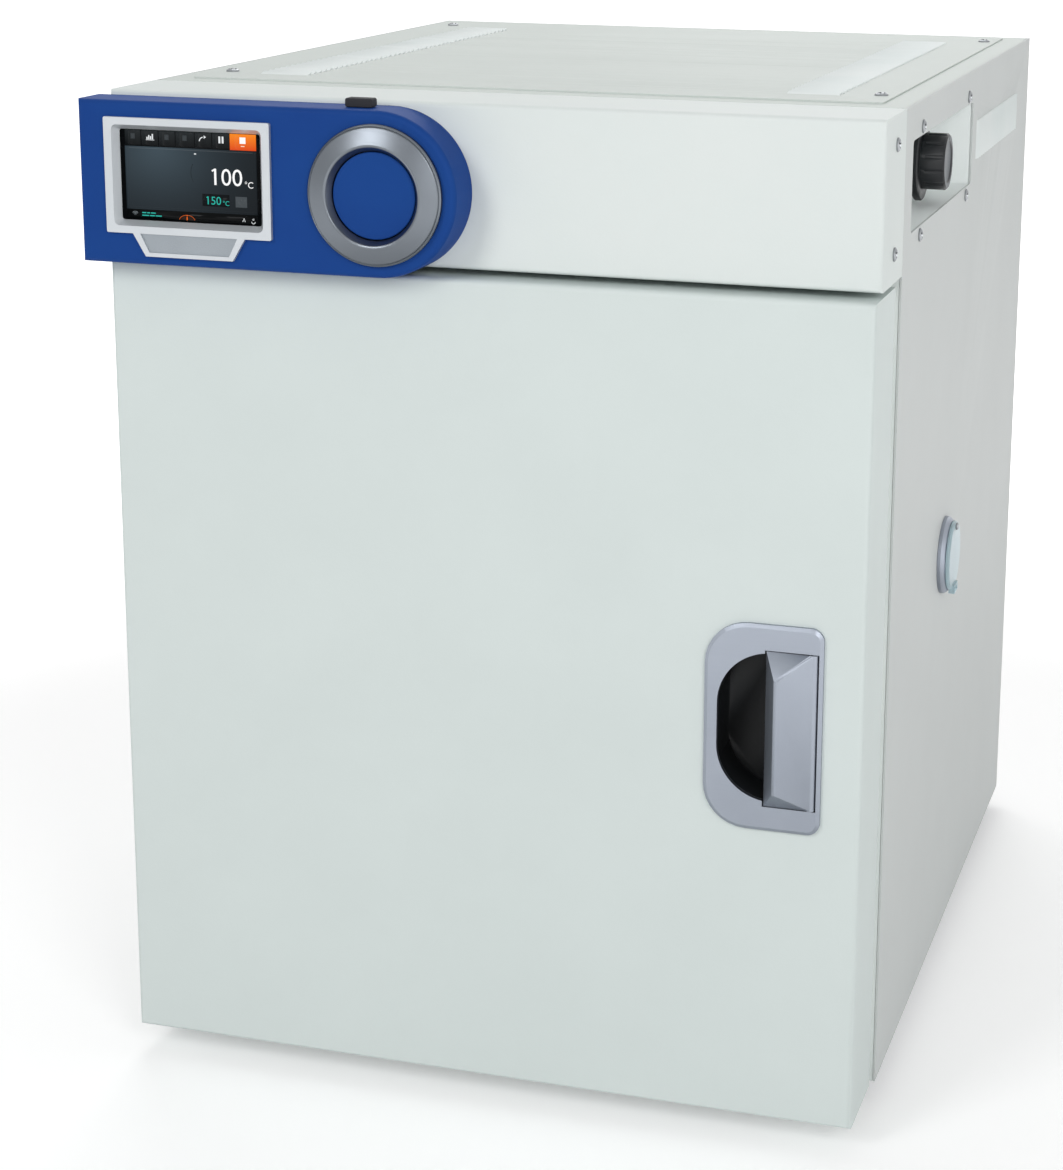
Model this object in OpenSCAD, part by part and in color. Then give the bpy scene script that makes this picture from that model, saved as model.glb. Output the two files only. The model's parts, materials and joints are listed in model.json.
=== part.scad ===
// Bench-top laboratory incubator with a hinged front door and a dial-and-screen controller.
// Millimetres. X runs to the right of someone facing the door, Y runs to the back, Z is up.
// The origin is on the bench, under the middle of the whole object.

/* [Cabinet] */
// Width over the side panels
cab_w = 545; // [510:5:600]
// Depth from the front frame to the back
cab_d = 610; // [580:5:680]
// Height from the base pan to the roof
cab_h = 702; // [690:2:740]
// Thickness of the outer sheet metal
sheet = 1.5; // [1.2:0.1:2]
// Gap between panels that sit side by side
seam = 0.3; // [0.2:0.05:0.4]
// Radius on the folded front edges
fold_r = 4; // [3:0.5:6]
// Height of the rubber feet
foot_h = 18; // [14:1:26]
// Radius of a rubber foot at the bench
foot_r = 16; // [13:1:20]
// Distance of a foot's centre from the cabinet's sides and ends
foot_inset = 50; // [44:1:60]
// Depth of the folded flanges inside the shell
flange = 16; // [14:1:20]

/* [Roof] */
// Width of the border left around the roof cover
roof_border = 20; // [18:1:24]
// Height of the roof cover above the border
roof_rise = 1.2; // [1:0.1:2]
// Distance of the roof screws from the cover's side edge
roof_screw_in = 10; // [9:0.5:14]
// Distance of the roof screws from the cover's front and rear edges
roof_screw_end = 46; // [30:1:60]

/* [Louvres] */
// Pitch of the louvres
louvre_pitch = 10; // [9:0.5:12]
// Run of one louvre from its fold to its open edge
louvre_run = 6.5; // [5:0.5:7.5]
// Height of the open edge
louvre_rise = 1.8; // [1.4:0.1:2.4]
// Length of a roof louvre
roof_louvre_l = 37; // [30:1:42]
// Louvres in each roof band
roof_louvre_n = 45; // [30:1:47]
// Distance of a roof band from the cabinet's side
roof_louvre_in = 57; // [52:1:64]
// Distance of the first roof louvre from the cabinet's front
roof_louvre_y = 56; // [50:1:70]
// Length of a side louvre
side_louvre_l = 30; // [24:1:34]
// Louvres in each side band
side_louvre_n = 22; // [16:1:24]
// Distance of the first side louvre from the cabinet's front
side_louvre_y = 312; // [306:1:320]
// Distance of a side louvre's top below the roof
side_louvre_drop = 41; // [36:1:46]

/* [Chamber] */
// Width inside the chamber
chamber_w = 370; // [340:5:390]
// Depth inside the chamber
chamber_d = 380; // [360:5:390]
// Height of the electrical compartment over the insulation
compartment_h = 140.2; // [138:0.2:150]
// Height of the chamber's floor above the base pan
chamber_lift = 84; // [80:1:88]
// Thickness of the stainless liner
liner_t = 1.2; // [1:0.1:1.6]
// Width of the liner's front lip
liner_lip = 14; // [10:1:18]
// Thickness of the insulation over the chamber
roof_wool = 56; // [50:1:60]
// Thickness of the insulation behind the chamber
rear_wool = 56; // [50:1:60]
// Depth of the fan space behind the air baffle
plenum_d = 45; // [42:1:50]
// Clearance between holes and what passes through them
pass_gap = 0.3; // [0.2:0.05:0.4]
// Radial clearance of a turning or sliding fit
run_gap = 0.05; // [0.03:0.01:0.08]

/* [Shelves] */
// Gap between a shelf and the racks at its sides
shelf_side_gap = 1; // [0.6:0.1:1.5]
// Depth of a shelf from front to back
shelf_d = 310; // [280:5:320]
// Radius of the shelf's rim wire
rim_r = 2.75; // [2.5:0.25:3.5]
// Radius of the shelf's thin wires
wire_r = 1.5; // [1.2:0.1:2]
// Radius of a shelf's corners
shelf_corner = 14; // [10:1:20]
// Number of thin wires in a shelf
wire_n = 18; // [12:1:22]
// Runners on each rack
runner_n = 6; // [5:1:6]
// Distance of the highest runner below the chamber's roof
runner_last = 65; // [50:1:80]
// Height of the lowest runner above the chamber's floor
runner_first = 55; // [45:1:60]
// Radius of a runner wire
runner_r = 2; // [1.5:0.25:2.5]
// Distance of the rack's posts from the chamber's wall
rack_off = 3; // [2.5:0.5:4]

/* [Door] */
// Distance of the door's side inside the cabinet's side
door_in = 1.5; // [1:0.25:3]
// Distance of the door's front ahead of the cabinet's front
door_reach = 82; // [80:1:90]
// Thickness of the door without its seal
door_t = 68; // [66:1:72]
// Gap between the door and the fascia above it
door_gap = 5; // [5:0.5:7]
// Height of the door's lower edge above the base pan
door_lift = 3.5; // [3.5:0.5:6]
// Width of the door skin's folded edge at the back
door_return = 26; // [24:1:28]
// Width of the door seal
seal_w = 15; // [13:1:16]
// Distance of the seal from the door's edge
seal_in = 3; // [3:0.5:4]
// Gap between the closed seal and the front frame
seal_gap = 0.6; // [0.5:0.05:0.8]
// Gap between a hinge bush and the door's side wall
bush_gap = 0.35; // [0.3:0.05:1]
// Wall of a hinge bush
bush_wall = 1.6; // [1.2:0.1:2]
// Radius of a hinge pin
pin_r = 3.5; // [3:0.25:4]
// Length of a hinge pin inside the door
pin_l = 12; // [10:1:15]
// Thickness of a hinge bracket
bracket_t = 2.5; // [2:0.25:3]

/* [Handle] */
// Width of the handle plate
plate_w = 81.5; // [78:0.5:88]
// Height of the handle plate
plate_h = 146; // [136:1:156]
// Thickness of the handle plate
plate_t = 4; // [3.5:0.25:5]
// Distance of the plate's centre from the door's hinge-free side
plate_in = 68; // [66:1:70]
// Height of the plate's centre above the base pan
plate_rise = 292; // [280:1:310]
// Depth of the finger cup behind the door's face
cup_d = 32; // [28:1:36]
// Wall of the finger cup
cup_wall = 2; // [1.5:0.25:2.5]
// Width of the paddle grip
paddle_w = 32; // [28:1:34]
// Height of the paddle grip
paddle_h = 110; // [104:1:116]
// Height of the paddle's ridge over the plate
paddle_rise = 17; // [14:1:20]
// Distance of the paddle's ridge from its free edge
ridge_in = 9; // [7:0.5:11]
// Run of the paddle's two sloped ends
paddle_slope = 15; // [10:1:20]
// Wall of the paddle
paddle_wall = 3.5; // [3:0.25:4]
// Radius of the paddle's barrel
barrel_r = 3.5; // [3.4:0.1:4]
// Radius of the paddle's pin
paddle_pin_r = 1.5; // [1.3:0.1:1.6]
// Reach of the paddle's tail past its pin
tail_l = 11.5; // [11:0.5:12.5]
// Depth of the tail's rear face behind the pin
tail_d = 7; // [6.5:0.25:8]
// Radius of the wire in the paddle's return spring
spring_wire_r = 0.4; // [0.3:0.05:0.4]
// Radius of the push-off pin that breaks the door's seal
ejector_r = 3; // [2.5:0.25:3.25]
// Gap between the push-off pin and the front frame at rest
ejector_stand = 5.2; // [5:0.1:6]

/* [Fascia] */
// Height of the fascia over the door
fascia_h = 112; // [110:1:118]
// Distance of the fascia's front ahead of the cabinet's front
fascia_reach = 71; // [68:1:79]
// Distance of the fascia's screws ahead of the cabinet's front
fascia_screw_y = 33; // [28:1:38]
// Distance of the fascia's screws from its top and bottom edges
fascia_screw_end = 20; // [18:1:24]

/* [Control panel] */
// Gap between the screen's bezel and the dial ring
dial_gap = 27; // [24:0.5:40]
// Distance of the wiring cut-out from the panel's left end
wire_in = 55; // [50:1:60]
// Distance of the wiring cut-out from the panel's right end
wire_end = 28.5; // [26:0.5:34]
// Distance of the wiring cut-out from the panel's upper and lower edges
wire_edge = 21; // [18:1:26]
// Height of the control panel
panel_h = 112; // [108:1:114]
// Thickness of the control panel
panel_t = 33; // [28:1:36]
// Overhang of the control panel past the cabinet's side
panel_over = 7.5; // [5:0.5:10]
// Distance of the panel's top below the roof
panel_drop = 3.5; // [3:0.5:5]
// Rounding of the panel's front edge
panel_edge = 4; // [3:0.5:5]
// Wall of the control panel
panel_wall = 2.5; // [2:0.25:3]
// Width of the screen bezel
bezel_w = 122; // [118:1:126]
// Height of the screen bezel
bezel_h = 79; // [76:1:82]
// Height of the bezel's tab
bezel_tab = 15.5; // [12:0.5:16]
// Radius of the bezel's outer corners
bezel_edge_r = 1.2; // [0.8:0.2:3]
// Width of the rim round the tab's pocket
tab_rim = 2.75; // [2:0.25:4]
// Distance of the bezel from the panel's left end
bezel_in = 21; // [18:1:24]
// Distance of the bezel from the panel's top
bezel_drop = 11; // [9:0.5:12]
// Height of the bezel over the panel's face
bezel_rise = 3; // [2:0.25:4]
// Width of the screen
screen_w = 102.5; // [98:0.5:104]
// Height of the screen
screen_h = 61; // [58:0.5:62]
// Depth of the screen behind the panel's face
screen_sink = 3; // [2.75:0.25:4]
// Outer radius of the dial
dial_r = 47.5; // [45:0.5:49]
// Inner radius of the dial's mouth
dial_mouth_r = 33; // [32:0.5:34]
// Height of the dial over the panel's face
dial_rise = 9; // [7:0.5:10]
// Radius of the push button inside the dial
button_r = 29.2; // [28:0.1:29.5]
// Height of the button's face over the panel's face
button_rise = 3.5; // [3:0.25:4]
// Width of the cap over the data socket
cap_w = 19.5; // [18:0.5:22]
// Depth of the cap from front to back
cap_d = 9.5; // [9:0.5:11]
// Height of the cap over the panel
cap_h = 6; // [5:0.5:8]
// Distance of the cap's centre to the left of the dial's centre
cap_off = 16.5; // [14:0.5:20]

/* [Side recess] */
// Length of the recess
recess_l = 264; // [250:1:270]
// Height of the recess
recess_h = 63; // [62:1:66]
// Depth of the recess behind the side panel's face
recess_d = 48; // [44:1:52]
// Distance of the recess from the cabinet's front
recess_y = 28; // [24:1:32]
// Distance of the recess below the roof
recess_drop = 24.5; // [24:0.5:28]
// Radius of the recess's corners
recess_corner = 4; // [3:0.5:6]
// Distance of the recess's screws beyond its edges
recess_screw_out = 6; // [6:0.5:7]
// Radius of the damper knob's flange
knob_flange_r = 29; // [26:0.5:30]
// Radius of the damper knob's grip
knob_r = 20.5; // [18:0.5:22]
// Length of the damper knob's grip
knob_l = 18; // [16:1:22]
// Distance of the knob's axis from the cabinet's front
knob_y = 168; // [160:1:176]
// Radius of the damper shaft
shaft_r = 3; // [2.5:0.25:3.5]
// Inner radius of the exhaust duct
duct_r = 15; // [13:0.5:17]
// Wall of the exhaust duct
duct_wall = 2; // [1.5:0.25:2.5]
// Distance of the exhaust duct's axis from the chamber's side
duct_in = 35; // [29:1:45]

/* [Access port] */
// Distance of the port's axis from the cabinet's front
port_y = 226; // [210:1:240]
// Height of the port's axis above the base pan
port_rise = 334; // [320:1:350]
// Radius of the port's bore
port_r = 20; // [18:0.5:21]
// Outer radius of the port's flange
port_flange_r = 30; // [29:0.5:32]
// Thickness of the port's flange
port_flange_t = 6; // [5:0.5:7]
// Radius of the swing cover
cover_r = 27; // [26:0.5:28]
// Thickness of the swing cover
cover_t = 3; // [2.5:0.25:3.5]
// Distance of the cover's pivot from the port's axis
cover_pivot = 23.5; // [23:0.25:24.5]

/* [Air system] */
// Radius of the fan wheel
fan_r = 58; // [50:1:62]
// Width of the fan wheel
fan_w = 24; // [20:1:28]
// Blades on the fan wheel
fan_blades = 24; // [16:1:30]
// Radius of the fan's shaft
fan_shaft_r = 4; // [3:0.25:5]
// Radius of the ring heater
heater_ring_r = 82; // [76:1:90]
// Radius of the heater's tube
heater_r = 4; // [3:0.25:5]
// Distance between the heater's two ends
heater_ends = 28; // [24:1:36]
// Distance of the heater ahead of the chamber's rear wall
heater_fwd = 22; // [20:1:26]
// Radius of the temperature sensor
sensor_r = 3; // [2:0.25:3]
// Distance of the sensor from the chamber's side and roof
sensor_in = 40; // [30:1:50]

/* [Electrics] */
// Width of the power board
power_w = 140; // [130:5:160]
// Depth of the power board
power_d = 180; // [180:5:200]
// Distance of the power board from the cabinet's front
power_y = 150; // [140:5:160]
// Distance of the power board's left edge from the middle of the cabinet
power_x = 90; // [85:5:120]
// Height of a circuit board over what it stands on
board_stand = 6; // [5:0.5:8]
// Thickness of a circuit board
board_t = 1.6; // [1.2:0.2:2]
// Distance of the control board from the panel's left end
board_in = 15; // [12:1:20]
// Reach of the control board past the dial's axis
board_past = 23.5; // [18:0.5:26]
// Distance of the mains inlet from the cabinet's left side
inlet_in = 90; // [70:5:110]
// Height of the mains inlet above the base pan
inlet_rise = 60; // [50:5:80]
// Width of the mains inlet's body
inlet_w = 28; // [27:0.5:30]
// Height of the mains inlet's body
inlet_h = 20; // [19:0.5:24]

/* [Fasteners] */
// Radius of a screw's head
screw_head_r = 4.75; // [4.25:0.25:5]
// Height of a screw's head
screw_head_h = 2.4; // [2:0.2:2.8]
// Radius of a screw's shank
screw_r = 2; // [1.75:0.25:2]
// Length of a screw's shank
screw_l = 7; // [6:0.5:8]

/* [Hidden] */
$fn = 48;

// Colours
paint_white = [0.86, 0.90, 0.89];
paint_side = [0.79, 0.81, 0.80];
panel_blue = [0.11, 0.28, 0.55];
silver = [0.70, 0.72, 0.74];
stainless = [0.75, 0.76, 0.77];
zinc = [0.66, 0.68, 0.70];
wool_yellow = [0.88, 0.82, 0.60];
nylon = [0.93, 0.93, 0.90];
black = [0.09, 0.09, 0.10];
board_green = [0.10, 0.36, 0.22];

// Main planes
hw = cab_w / 2;
door_w = cab_w - 2 * door_in;
chamber_h = cab_h - chamber_lift - liner_t - roof_wool - 2 * seam - compartment_h;
runner_pitch = (chamber_h - runner_first - runner_last) / (runner_n - 1);
zb = foot_h;
zt = zb + cab_h;
proud_front = fascia_reach + panel_t + dial_rise;
inlet_proud = 3;
fy = (proud_front - cab_d - inlet_proud) / 2;
ry = fy + cab_d;
skin = sheet + seam;
fascia_z = zt - fascia_h;
fascia_y = fy - fascia_reach;

// Chamber and insulation planes
cz0 = zb + chamber_lift;
cz1 = cz0 + chamber_h;
cy1 = fy + chamber_d;
cx = chamber_w / 2;
tray_z = cz1 + liner_t + seam + roof_wool + seam;
bulk_y = cy1 + liner_t + seam + rear_wool + seam;
wool_x = hw - 2 * skin;
wool_y = fy + 2 * skin;
wool_z = zb + skin;
plenum_y = cy1 - plenum_d;
axis_z = (cz0 + cz1) / 2;
heater_end_r = heater_r + 1;
heater_y = cy1 - heater_fwd;
heater_drop = sqrt(heater_ring_r * heater_ring_r - heater_ends * heater_ends / 4);
duct_x = cx - duct_in;
inlet_x = -hw + inlet_in;
inlet_z = zb + inlet_rise;

// Roof cover planes
cover_hw = hw - roof_border;
cover_y0 = fy + roof_border;
cover_y1 = ry - roof_border - 5;
roof_hole_in = 18;
hole_l = 10;

// Door planes
door_h = cab_h - fascia_h - door_gap - door_lift;
dz0 = zb + door_lift;
dz1 = dz0 + door_h;
dy0 = fy - door_reach;
dy1 = dy0 + door_t;
dhw = door_w / 2;
bush_r = pin_r + run_gap + bush_wall;
hinge_x = -dhw + sheet + bush_gap + bush_r;
hinge_y = dy1 - sheet - bush_gap - bush_r;
hinge_fwd = fy - hinge_y;
hinge_screw_y = [14, 24];
hinge_screw_z = [8, 18];
hinge_screw_x = hinge_x + 8;
bracket_z = dz1 + 1 + seam;

// Handle planes
plate_x = dhw - plate_in;
plate_z = zb + plate_rise;
plate_y = dy0 - plate_t;
paddle_x1 = plate_x + plate_w / 2 - barrel_r - 3.25;
paddle_x0 = paddle_x1 - paddle_w;
paddle_y = dy0 - paddle_pin_r - run_gap;
cup_w = plate_w - 17;
cup_h = plate_h - 40.5;
cup_x = paddle_x1 - cup_w / 2 - 1;
ejector_x = paddle_x1 + tail_l - 3;
slot_h = paddle_h + 1;
slot_x1 = paddle_x1 + barrel_r + 0.5;
spring_z = plate_z + 17;
spring_l = 12;
spring_out_r = paddle_pin_r + 0.2 + 2 * spring_wire_r;

// Control panel planes
panel_x0 = -hw - panel_over;
panel_l = bezel_in + bezel_w + dial_gap + dial_r + panel_h / 2;
wire_w = panel_l - wire_in - wire_end;
panel_z1 = zt - panel_drop;
panel_z0 = panel_z1 - panel_h;
panel_zc = (panel_z0 + panel_z1) / 2;
panel_y = fascia_y - seam - panel_t;
dial_x = panel_x0 + panel_l - panel_h / 2;
bezel_x = panel_x0 + bezel_in + bezel_w / 2;
bezel_z = panel_z1 - bezel_drop - bezel_h / 2;
cap_x = dial_x - cap_off;
cap_y = panel_y + 17.5;
board_y = panel_y + 19;
socket_z0 = panel_z1 - 14.5;
board_h = 2 * (socket_z0 - seam - panel_zc);
skirt_r = dial_mouth_r + 3;

// Recess, damper and port planes
recess_z1 = zt - recess_drop;
recess_z0 = recess_z1 - recess_h;
recess_zc = (recess_z0 + recess_z1) / 2;
recess_y0 = fy + recess_y;
recess_yc = recess_y0 + recess_l / 2;
recess_x = hw - recess_d;
knob_x = hw - 21.5;
knob_yc = fy + knob_y;
knob_zc = recess_zc + 0.5;
port_yc = fy + port_y;
port_zc = zb + port_rise;
tube_r = port_r + 3;

// Shelf planes
rack_x = cx - rack_off;
runner_x = rack_x - 7;
shelf_hw = rack_x - 5 - shelf_side_gap;
shelf_y0 = fy + 12;

// Shared shapes

// A rectangle with rounded corners, centred on the origin.
module rounded_rect(w, h, r) {
    square([w - 2 * r, h], center = true);
    square([w, h - 2 * r], center = true);
    for (x = [-1, 1], y = [-1, 1])
        translate([x * (w / 2 - r), y * (h / 2 - r)]) circle(r);
}

// A rectangle with large corners at the left and small ones at the right.
module d_outline(w, h, big, small) {
    intersection() {
        square([w, h], center = true);
        union() {
            translate([-w / 2 + big, -h / 2]) square([w - big - small, h]);
            translate([-w / 2, -h / 2 + big]) square([w - small, h - 2 * big]);
            translate([0, -h / 2 + small]) square([w / 2, h - 2 * small]);
            for (y = [-1, 1]) {
                translate([-w / 2 + big, y * (h / 2 - big)]) circle(big);
                translate([w / 2 - small, y * (h / 2 - small)]) circle(small);
            }
        }
    }
}

// A profile of half width w2 and depth d, with its two corners at y = 0 rounded.
module nose(w2, d, r) {
    translate([-w2, r]) square([2 * w2, d - r]);
    translate([-w2 + r, 0]) square([2 * (w2 - r), d]);
    for (s = [-1, 1]) translate([s * (w2 - r), r]) circle(r);
}

// A box whose front face has all four edges rounded: front at y = 0, centred on X and Z.
module soft_front(w, h, d, r) {
    intersection() {
        translate([0, 0, -h / 2]) linear_extrude(h) nose(w / 2, d, r);
        rotate([0, 90, 0]) translate([0, 0, -w / 2]) linear_extrude(w) nose(h / 2, d, r);
    }
}

// A flat shape drawn in XZ and made t thick towards +Y.
module wall_xz(t) {
    translate([0, t, 0]) rotate([90, 0, 0]) linear_extrude(t) children();
}

// A flat shape drawn in YZ and made t thick towards +X.
module wall_yz(t) {
    rotate([90, 0, 90]) linear_extrude(t) children();
}

// A cylinder along Y, from y = 0 towards +Y.
module rod_y(r, l) {
    rotate([-90, 0, 0]) cylinder(r = r, h = l);
}

// A cylinder along X, from x = 0 towards +X.
module rod_x(r, l) {
    rotate([0, 90, 0]) cylinder(r = r, h = l);
}

// A turned part about the Y axis, whose profile's height points to the front.
module turned_front() {
    rotate([90, 0, 0]) rotate_extrude() children();
}

// One pan-head screw standing on z = 0, its shank pointing down.
module pan_screw() {
    rotate_extrude() polygon([
        [0, 0], [screw_head_r, 0], [screw_head_r, screw_head_h * 0.35],
        [screw_head_r * 0.85, screw_head_h * 0.75], [screw_head_r * 0.5, screw_head_h], [0, screw_head_h]
    ]);
    translate([0, 0, -screw_l]) cylinder(r = screw_r, h = screw_l + 0.01);
}

// A screw hole that clears the shank, through z from -10 to 10.
module screw_hole() {
    translate([0, 0, -10]) cylinder(r = screw_r + pass_gap, h = 20);
}

// Places of the roof screws, with Z up.
module at_roof_screws() {
    for (x = [-1, 1], y = [cover_y0 + roof_screw_end, cover_y1 - roof_screw_end])
        translate([x * (cover_hw - roof_screw_in), y, zt + roof_rise]) children();
}

// Places of the fascia screws, with Z outwards.
module at_fascia_screws() {
    for (s = [-1, 1], z = [fascia_z + fascia_screw_end, zt - fascia_screw_end])
        translate([s * hw, fy - fascia_screw_y, z]) rotate([0, s * 90, 0]) children();
}

// Places of the recess screws, with Z outwards.
module at_recess_screws() {
    for (y = [36, recess_l - 24], z = [recess_z0 - recess_screw_out, recess_z1 + recess_screw_out])
        translate([hw, recess_y0 + y, z]) rotate([0, 90, 0]) children();
}

// Places of the rear panel's screws, with Z to the back.
module at_rear_screws() {
    for (x = [-1, 0, 1], z = [zb + flange / 2 + 1, zt - flange / 2 - 1])
        translate([x * (hw - 14), ry, z]) rotate([-90, 0, 0]) children();
}

// One louvre: a ramp that rises from its fold at y = 0 to its open edge, closed at both ends.
module louvre(l) {
    t = sheet * 0.55;
    difference() {
        rotate([90, 0, 90]) translate([0, 0, -l / 2]) linear_extrude(l)
            polygon([[0, 0], [louvre_run, louvre_rise], [louvre_run, -sheet / 2], [0, -sheet / 2]]);
        rotate([90, 0, 90]) translate([0, 0, -l / 2 + t]) linear_extrude(l - 2 * t)
            polygon([
                [t * 2, -t], [louvre_run + 1, louvre_rise - t + louvre_rise / louvre_run],
                [louvre_run + 1, -sheet], [t * 2, -sheet]
            ]);
    }
}

// The opening that a louvre covers.
module louvre_slot(l) {
    t = sheet * 0.55;
    translate([-l / 2 + t, t * 2, -sheet * 2]) cube([l - 2 * t, louvre_run - t * 2, sheet * 3]);
}

// Places of the roof louvres.
module at_roof_louvres() {
    for (s = [-1, 1], i = [0 : roof_louvre_n - 1])
        translate([s * (hw - roof_louvre_in - roof_louvre_l / 2), fy + roof_louvre_y + i * louvre_pitch, zt + roof_rise])
            children();
}

// Places of the side louvres, with Z outwards and the fold towards the front.
module at_side_louvres(s) {
    for (i = [0 : side_louvre_n - 1])
        translate([s * hw, fy + side_louvre_y + i * louvre_pitch, zt - side_louvre_drop - side_louvre_l / 2])
            rotate([0, s * 90, 0]) children();
}

// Outer shell

module side_panel(s) {
    difference() {
        union() {
            translate([s > 0 ? hw - sheet : -hw, fy, zb]) cube([sheet, cab_d, cab_h]);
            translate([s > 0 ? hw - flange : -hw, ry - skin - sheet, zb + flange + 1])
                cube([flange, sheet, cab_h - 2 * flange - 2]);
        }
        at_side_louvres(s) louvre_slot(side_louvre_l);
    }
    at_side_louvres(s) louvre(side_louvre_l);
}

module side_panel_left() {
    color(paint_side) side_panel(-1);
}

module side_panel_right() {
    color(paint_side) difference() {
        side_panel(1);
        translate([hw - 5, recess_yc, recess_zc]) wall_yz(10) rounded_rect(recess_l, recess_h, recess_corner);
        at_recess_screws() screw_hole();
        translate([hw - 5, port_yc, port_zc]) rod_x(tube_r + pass_gap, 10);
    }
}

module top_frame() {
    w = hw - skin;
    hx = cover_hw - roof_hole_in;
    color(paint_white) difference() {
        union() {
            translate([-w, fy + skin, zt - sheet]) cube([2 * w, cab_d - 2 * skin, sheet]);
            for (s = [-1, 1])
                translate([s > 0 ? w - sheet : -w, fy + skin, zt - flange]) cube([sheet, cab_d - 2 * skin, flange]);
            for (y = [fy + skin, ry - skin - sheet])
                translate([-w, y, zt - flange]) cube([2 * w, sheet, flange]);
        }
        translate([-hx, cover_y0 + roof_hole_in, zt - 5])
            cube([2 * hx, cover_y1 - cover_y0 - 2 * roof_hole_in, 10]);
        at_roof_screws() screw_hole();
        at_rear_screws() screw_hole();
    }
}

module top_cover() {
    d = cover_y1 - cover_y0;
    color(paint_white) {
        difference() {
            translate([0, cover_y0 + d / 2, zt]) linear_extrude(roof_rise) rounded_rect(2 * cover_hw, d, 3);
            at_roof_louvres() louvre_slot(roof_louvre_l);
            at_roof_screws() screw_hole();
        }
        at_roof_louvres() louvre(roof_louvre_l);
    }
}

module rear_panel() {
    w = hw - skin;
    slot_w = 60;
    color(paint_side) difference() {
        translate([-w, ry - sheet, zb + seam]) cube([2 * w, sheet, cab_h - 2 * seam]);
        at_rear_screws() screw_hole();
        for (s = [-1, 1], i = [0 : 9])
            translate([s * 80, ry - 5, axis_z - 45 + i * 10])
                wall_xz(10) rounded_rect(slot_w, 4, 1.9);
        for (i = [0 : 5])
            translate([0, ry - 5, zt - 110 + i * 10]) wall_xz(10) rounded_rect(3 * slot_w, 4, 1.9);
        translate([inlet_x, ry - 5, inlet_z])
            wall_xz(10) square([inlet_w + 2 * pass_gap - 0.2, inlet_h + 2 * pass_gap - 0.2], center = true);
    }
}

module base_pan() {
    w = hw - skin;
    color(zinc) difference() {
        translate([-w, fy + skin, zb]) cube([2 * w, cab_d - 2 * skin, flange]);
        translate([-w + sheet, fy + skin + sheet, zb + sheet])
            cube([2 * (w - sheet), cab_d - 2 * (skin + sheet), flange]);
        at_feet() translate([0, 0, -1]) cylinder(r = screw_r + pass_gap, h = 10);
        for (y = hinge_screw_y) translate([hinge_x, fy + y, zb - 5]) cylinder(r = screw_r + pass_gap, h = 10);
        at_rear_screws() screw_hole();
    }
}

module at_feet() {
    for (x = [-1, 1], y = [fy + foot_inset, ry - foot_inset])
        translate([x * (hw - foot_inset), y, zb]) children();
}

module rubber_feet() {
    color(black) at_feet() difference() {
        translate([0, 0, -foot_h]) rotate_extrude() polygon([
            [0, 0], [foot_r - 1, 0], [foot_r, 1], [foot_r - 2, foot_h - 3],
            [foot_r - 3, foot_h], [0, foot_h]
        ]);
        translate([0, 0, -foot_h - 1]) cylinder(r = 7, h = 7);
        translate([0, 0, -foot_h]) cylinder(r = screw_r + pass_gap, h = foot_h + 1);
    }
}

module front_frame() {
    w = hw - skin;
    ear_z0 = fascia_z + 9;
    color(paint_white) difference() {
        union() {
            translate([-w, fy, zb + seam]) cube([2 * w, sheet, cab_h - 2 * seam]);
            for (s = [-1, 1])
                translate([s > 0 ? w - sheet : -w, fy - 48, ear_z0]) cube([sheet, 48 + sheet, fascia_h - 18]);
        }
        translate([0, fy - 1, (cz0 + cz1) / 2])
            wall_xz(5) square([chamber_w + 2 * (liner_t + seam), chamber_h + 2 * (liner_t + seam)], center = true);
        translate([0, fy - 1, fascia_z + fascia_h / 2]) wall_xz(5) rounded_rect(0.8 * cab_w, fascia_h - 50, 6);
        at_fascia_screws() screw_hole();
        for (z = hinge_screw_z) translate([hinge_screw_x, fy - 1, fascia_z + z]) rod_y(screw_r + pass_gap, 5);
    }
}

// The places where the shared screws go.
module panel_screws() {
    color(silver) difference() {
        union() {
            at_roof_screws() pan_screw();
            at_fascia_screws() pan_screw();
            at_recess_screws() pan_screw();
            at_rear_screws() pan_screw();
            at_feet() translate([0, 0, sheet]) pan_screw();
            for (y = hinge_screw_y) translate([hinge_x, fy + y, zb + sheet]) pan_screw();
            for (z = hinge_screw_z) translate([hinge_screw_x, fy - bracket_t, fascia_z + z]) rotate([90, 0, 0]) pan_screw();
        }
        at_roof_screws() cross_recess();
        at_fascia_screws() cross_recess();
        at_recess_screws() cross_recess();
        at_rear_screws() cross_recess();
    }
}

// The cross in a screw's head.
module cross_recess() {
    for (a = [0, 90]) rotate(a)
        translate([-screw_head_r * 0.5, -0.5, screw_head_h * 0.45]) cube([screw_head_r, 1, screw_head_h]);
}

// Chamber and insulation

module chamber_liner() {
    t = liner_t;
    lip_w = cx + liner_lip;
    color(stainless) difference() {
        union() {
            translate([-cx - t, fy - t, cz0 - t]) cube([chamber_w + 2 * t, chamber_d + 2 * t, chamber_h + 2 * t]);
            translate([-lip_w, fy - t, cz0 - liner_lip])
                cube([2 * lip_w, t, chamber_h + 2 * liner_lip]);
        }
        translate([-cx, fy - 2 * t, cz0]) cube([chamber_w, chamber_d + 2 * t, chamber_h]);
        translate([cx - 5, port_yc, port_zc]) rod_x(tube_r + pass_gap, 10);
        translate([duct_x, knob_yc, cz1 - 5]) cylinder(r = duct_r + duct_wall + pass_gap, h = 10);
        translate([0, cy1 - 5, axis_z]) rod_y(fan_shaft_r + 2, 10);
        at_heater_ends() rod_y(heater_end_r + pass_gap, heater_fwd + hole_l);
        at_sensor() rod_y(sensor_r + pass_gap, sensor_in + hole_l);
    }
}

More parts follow.
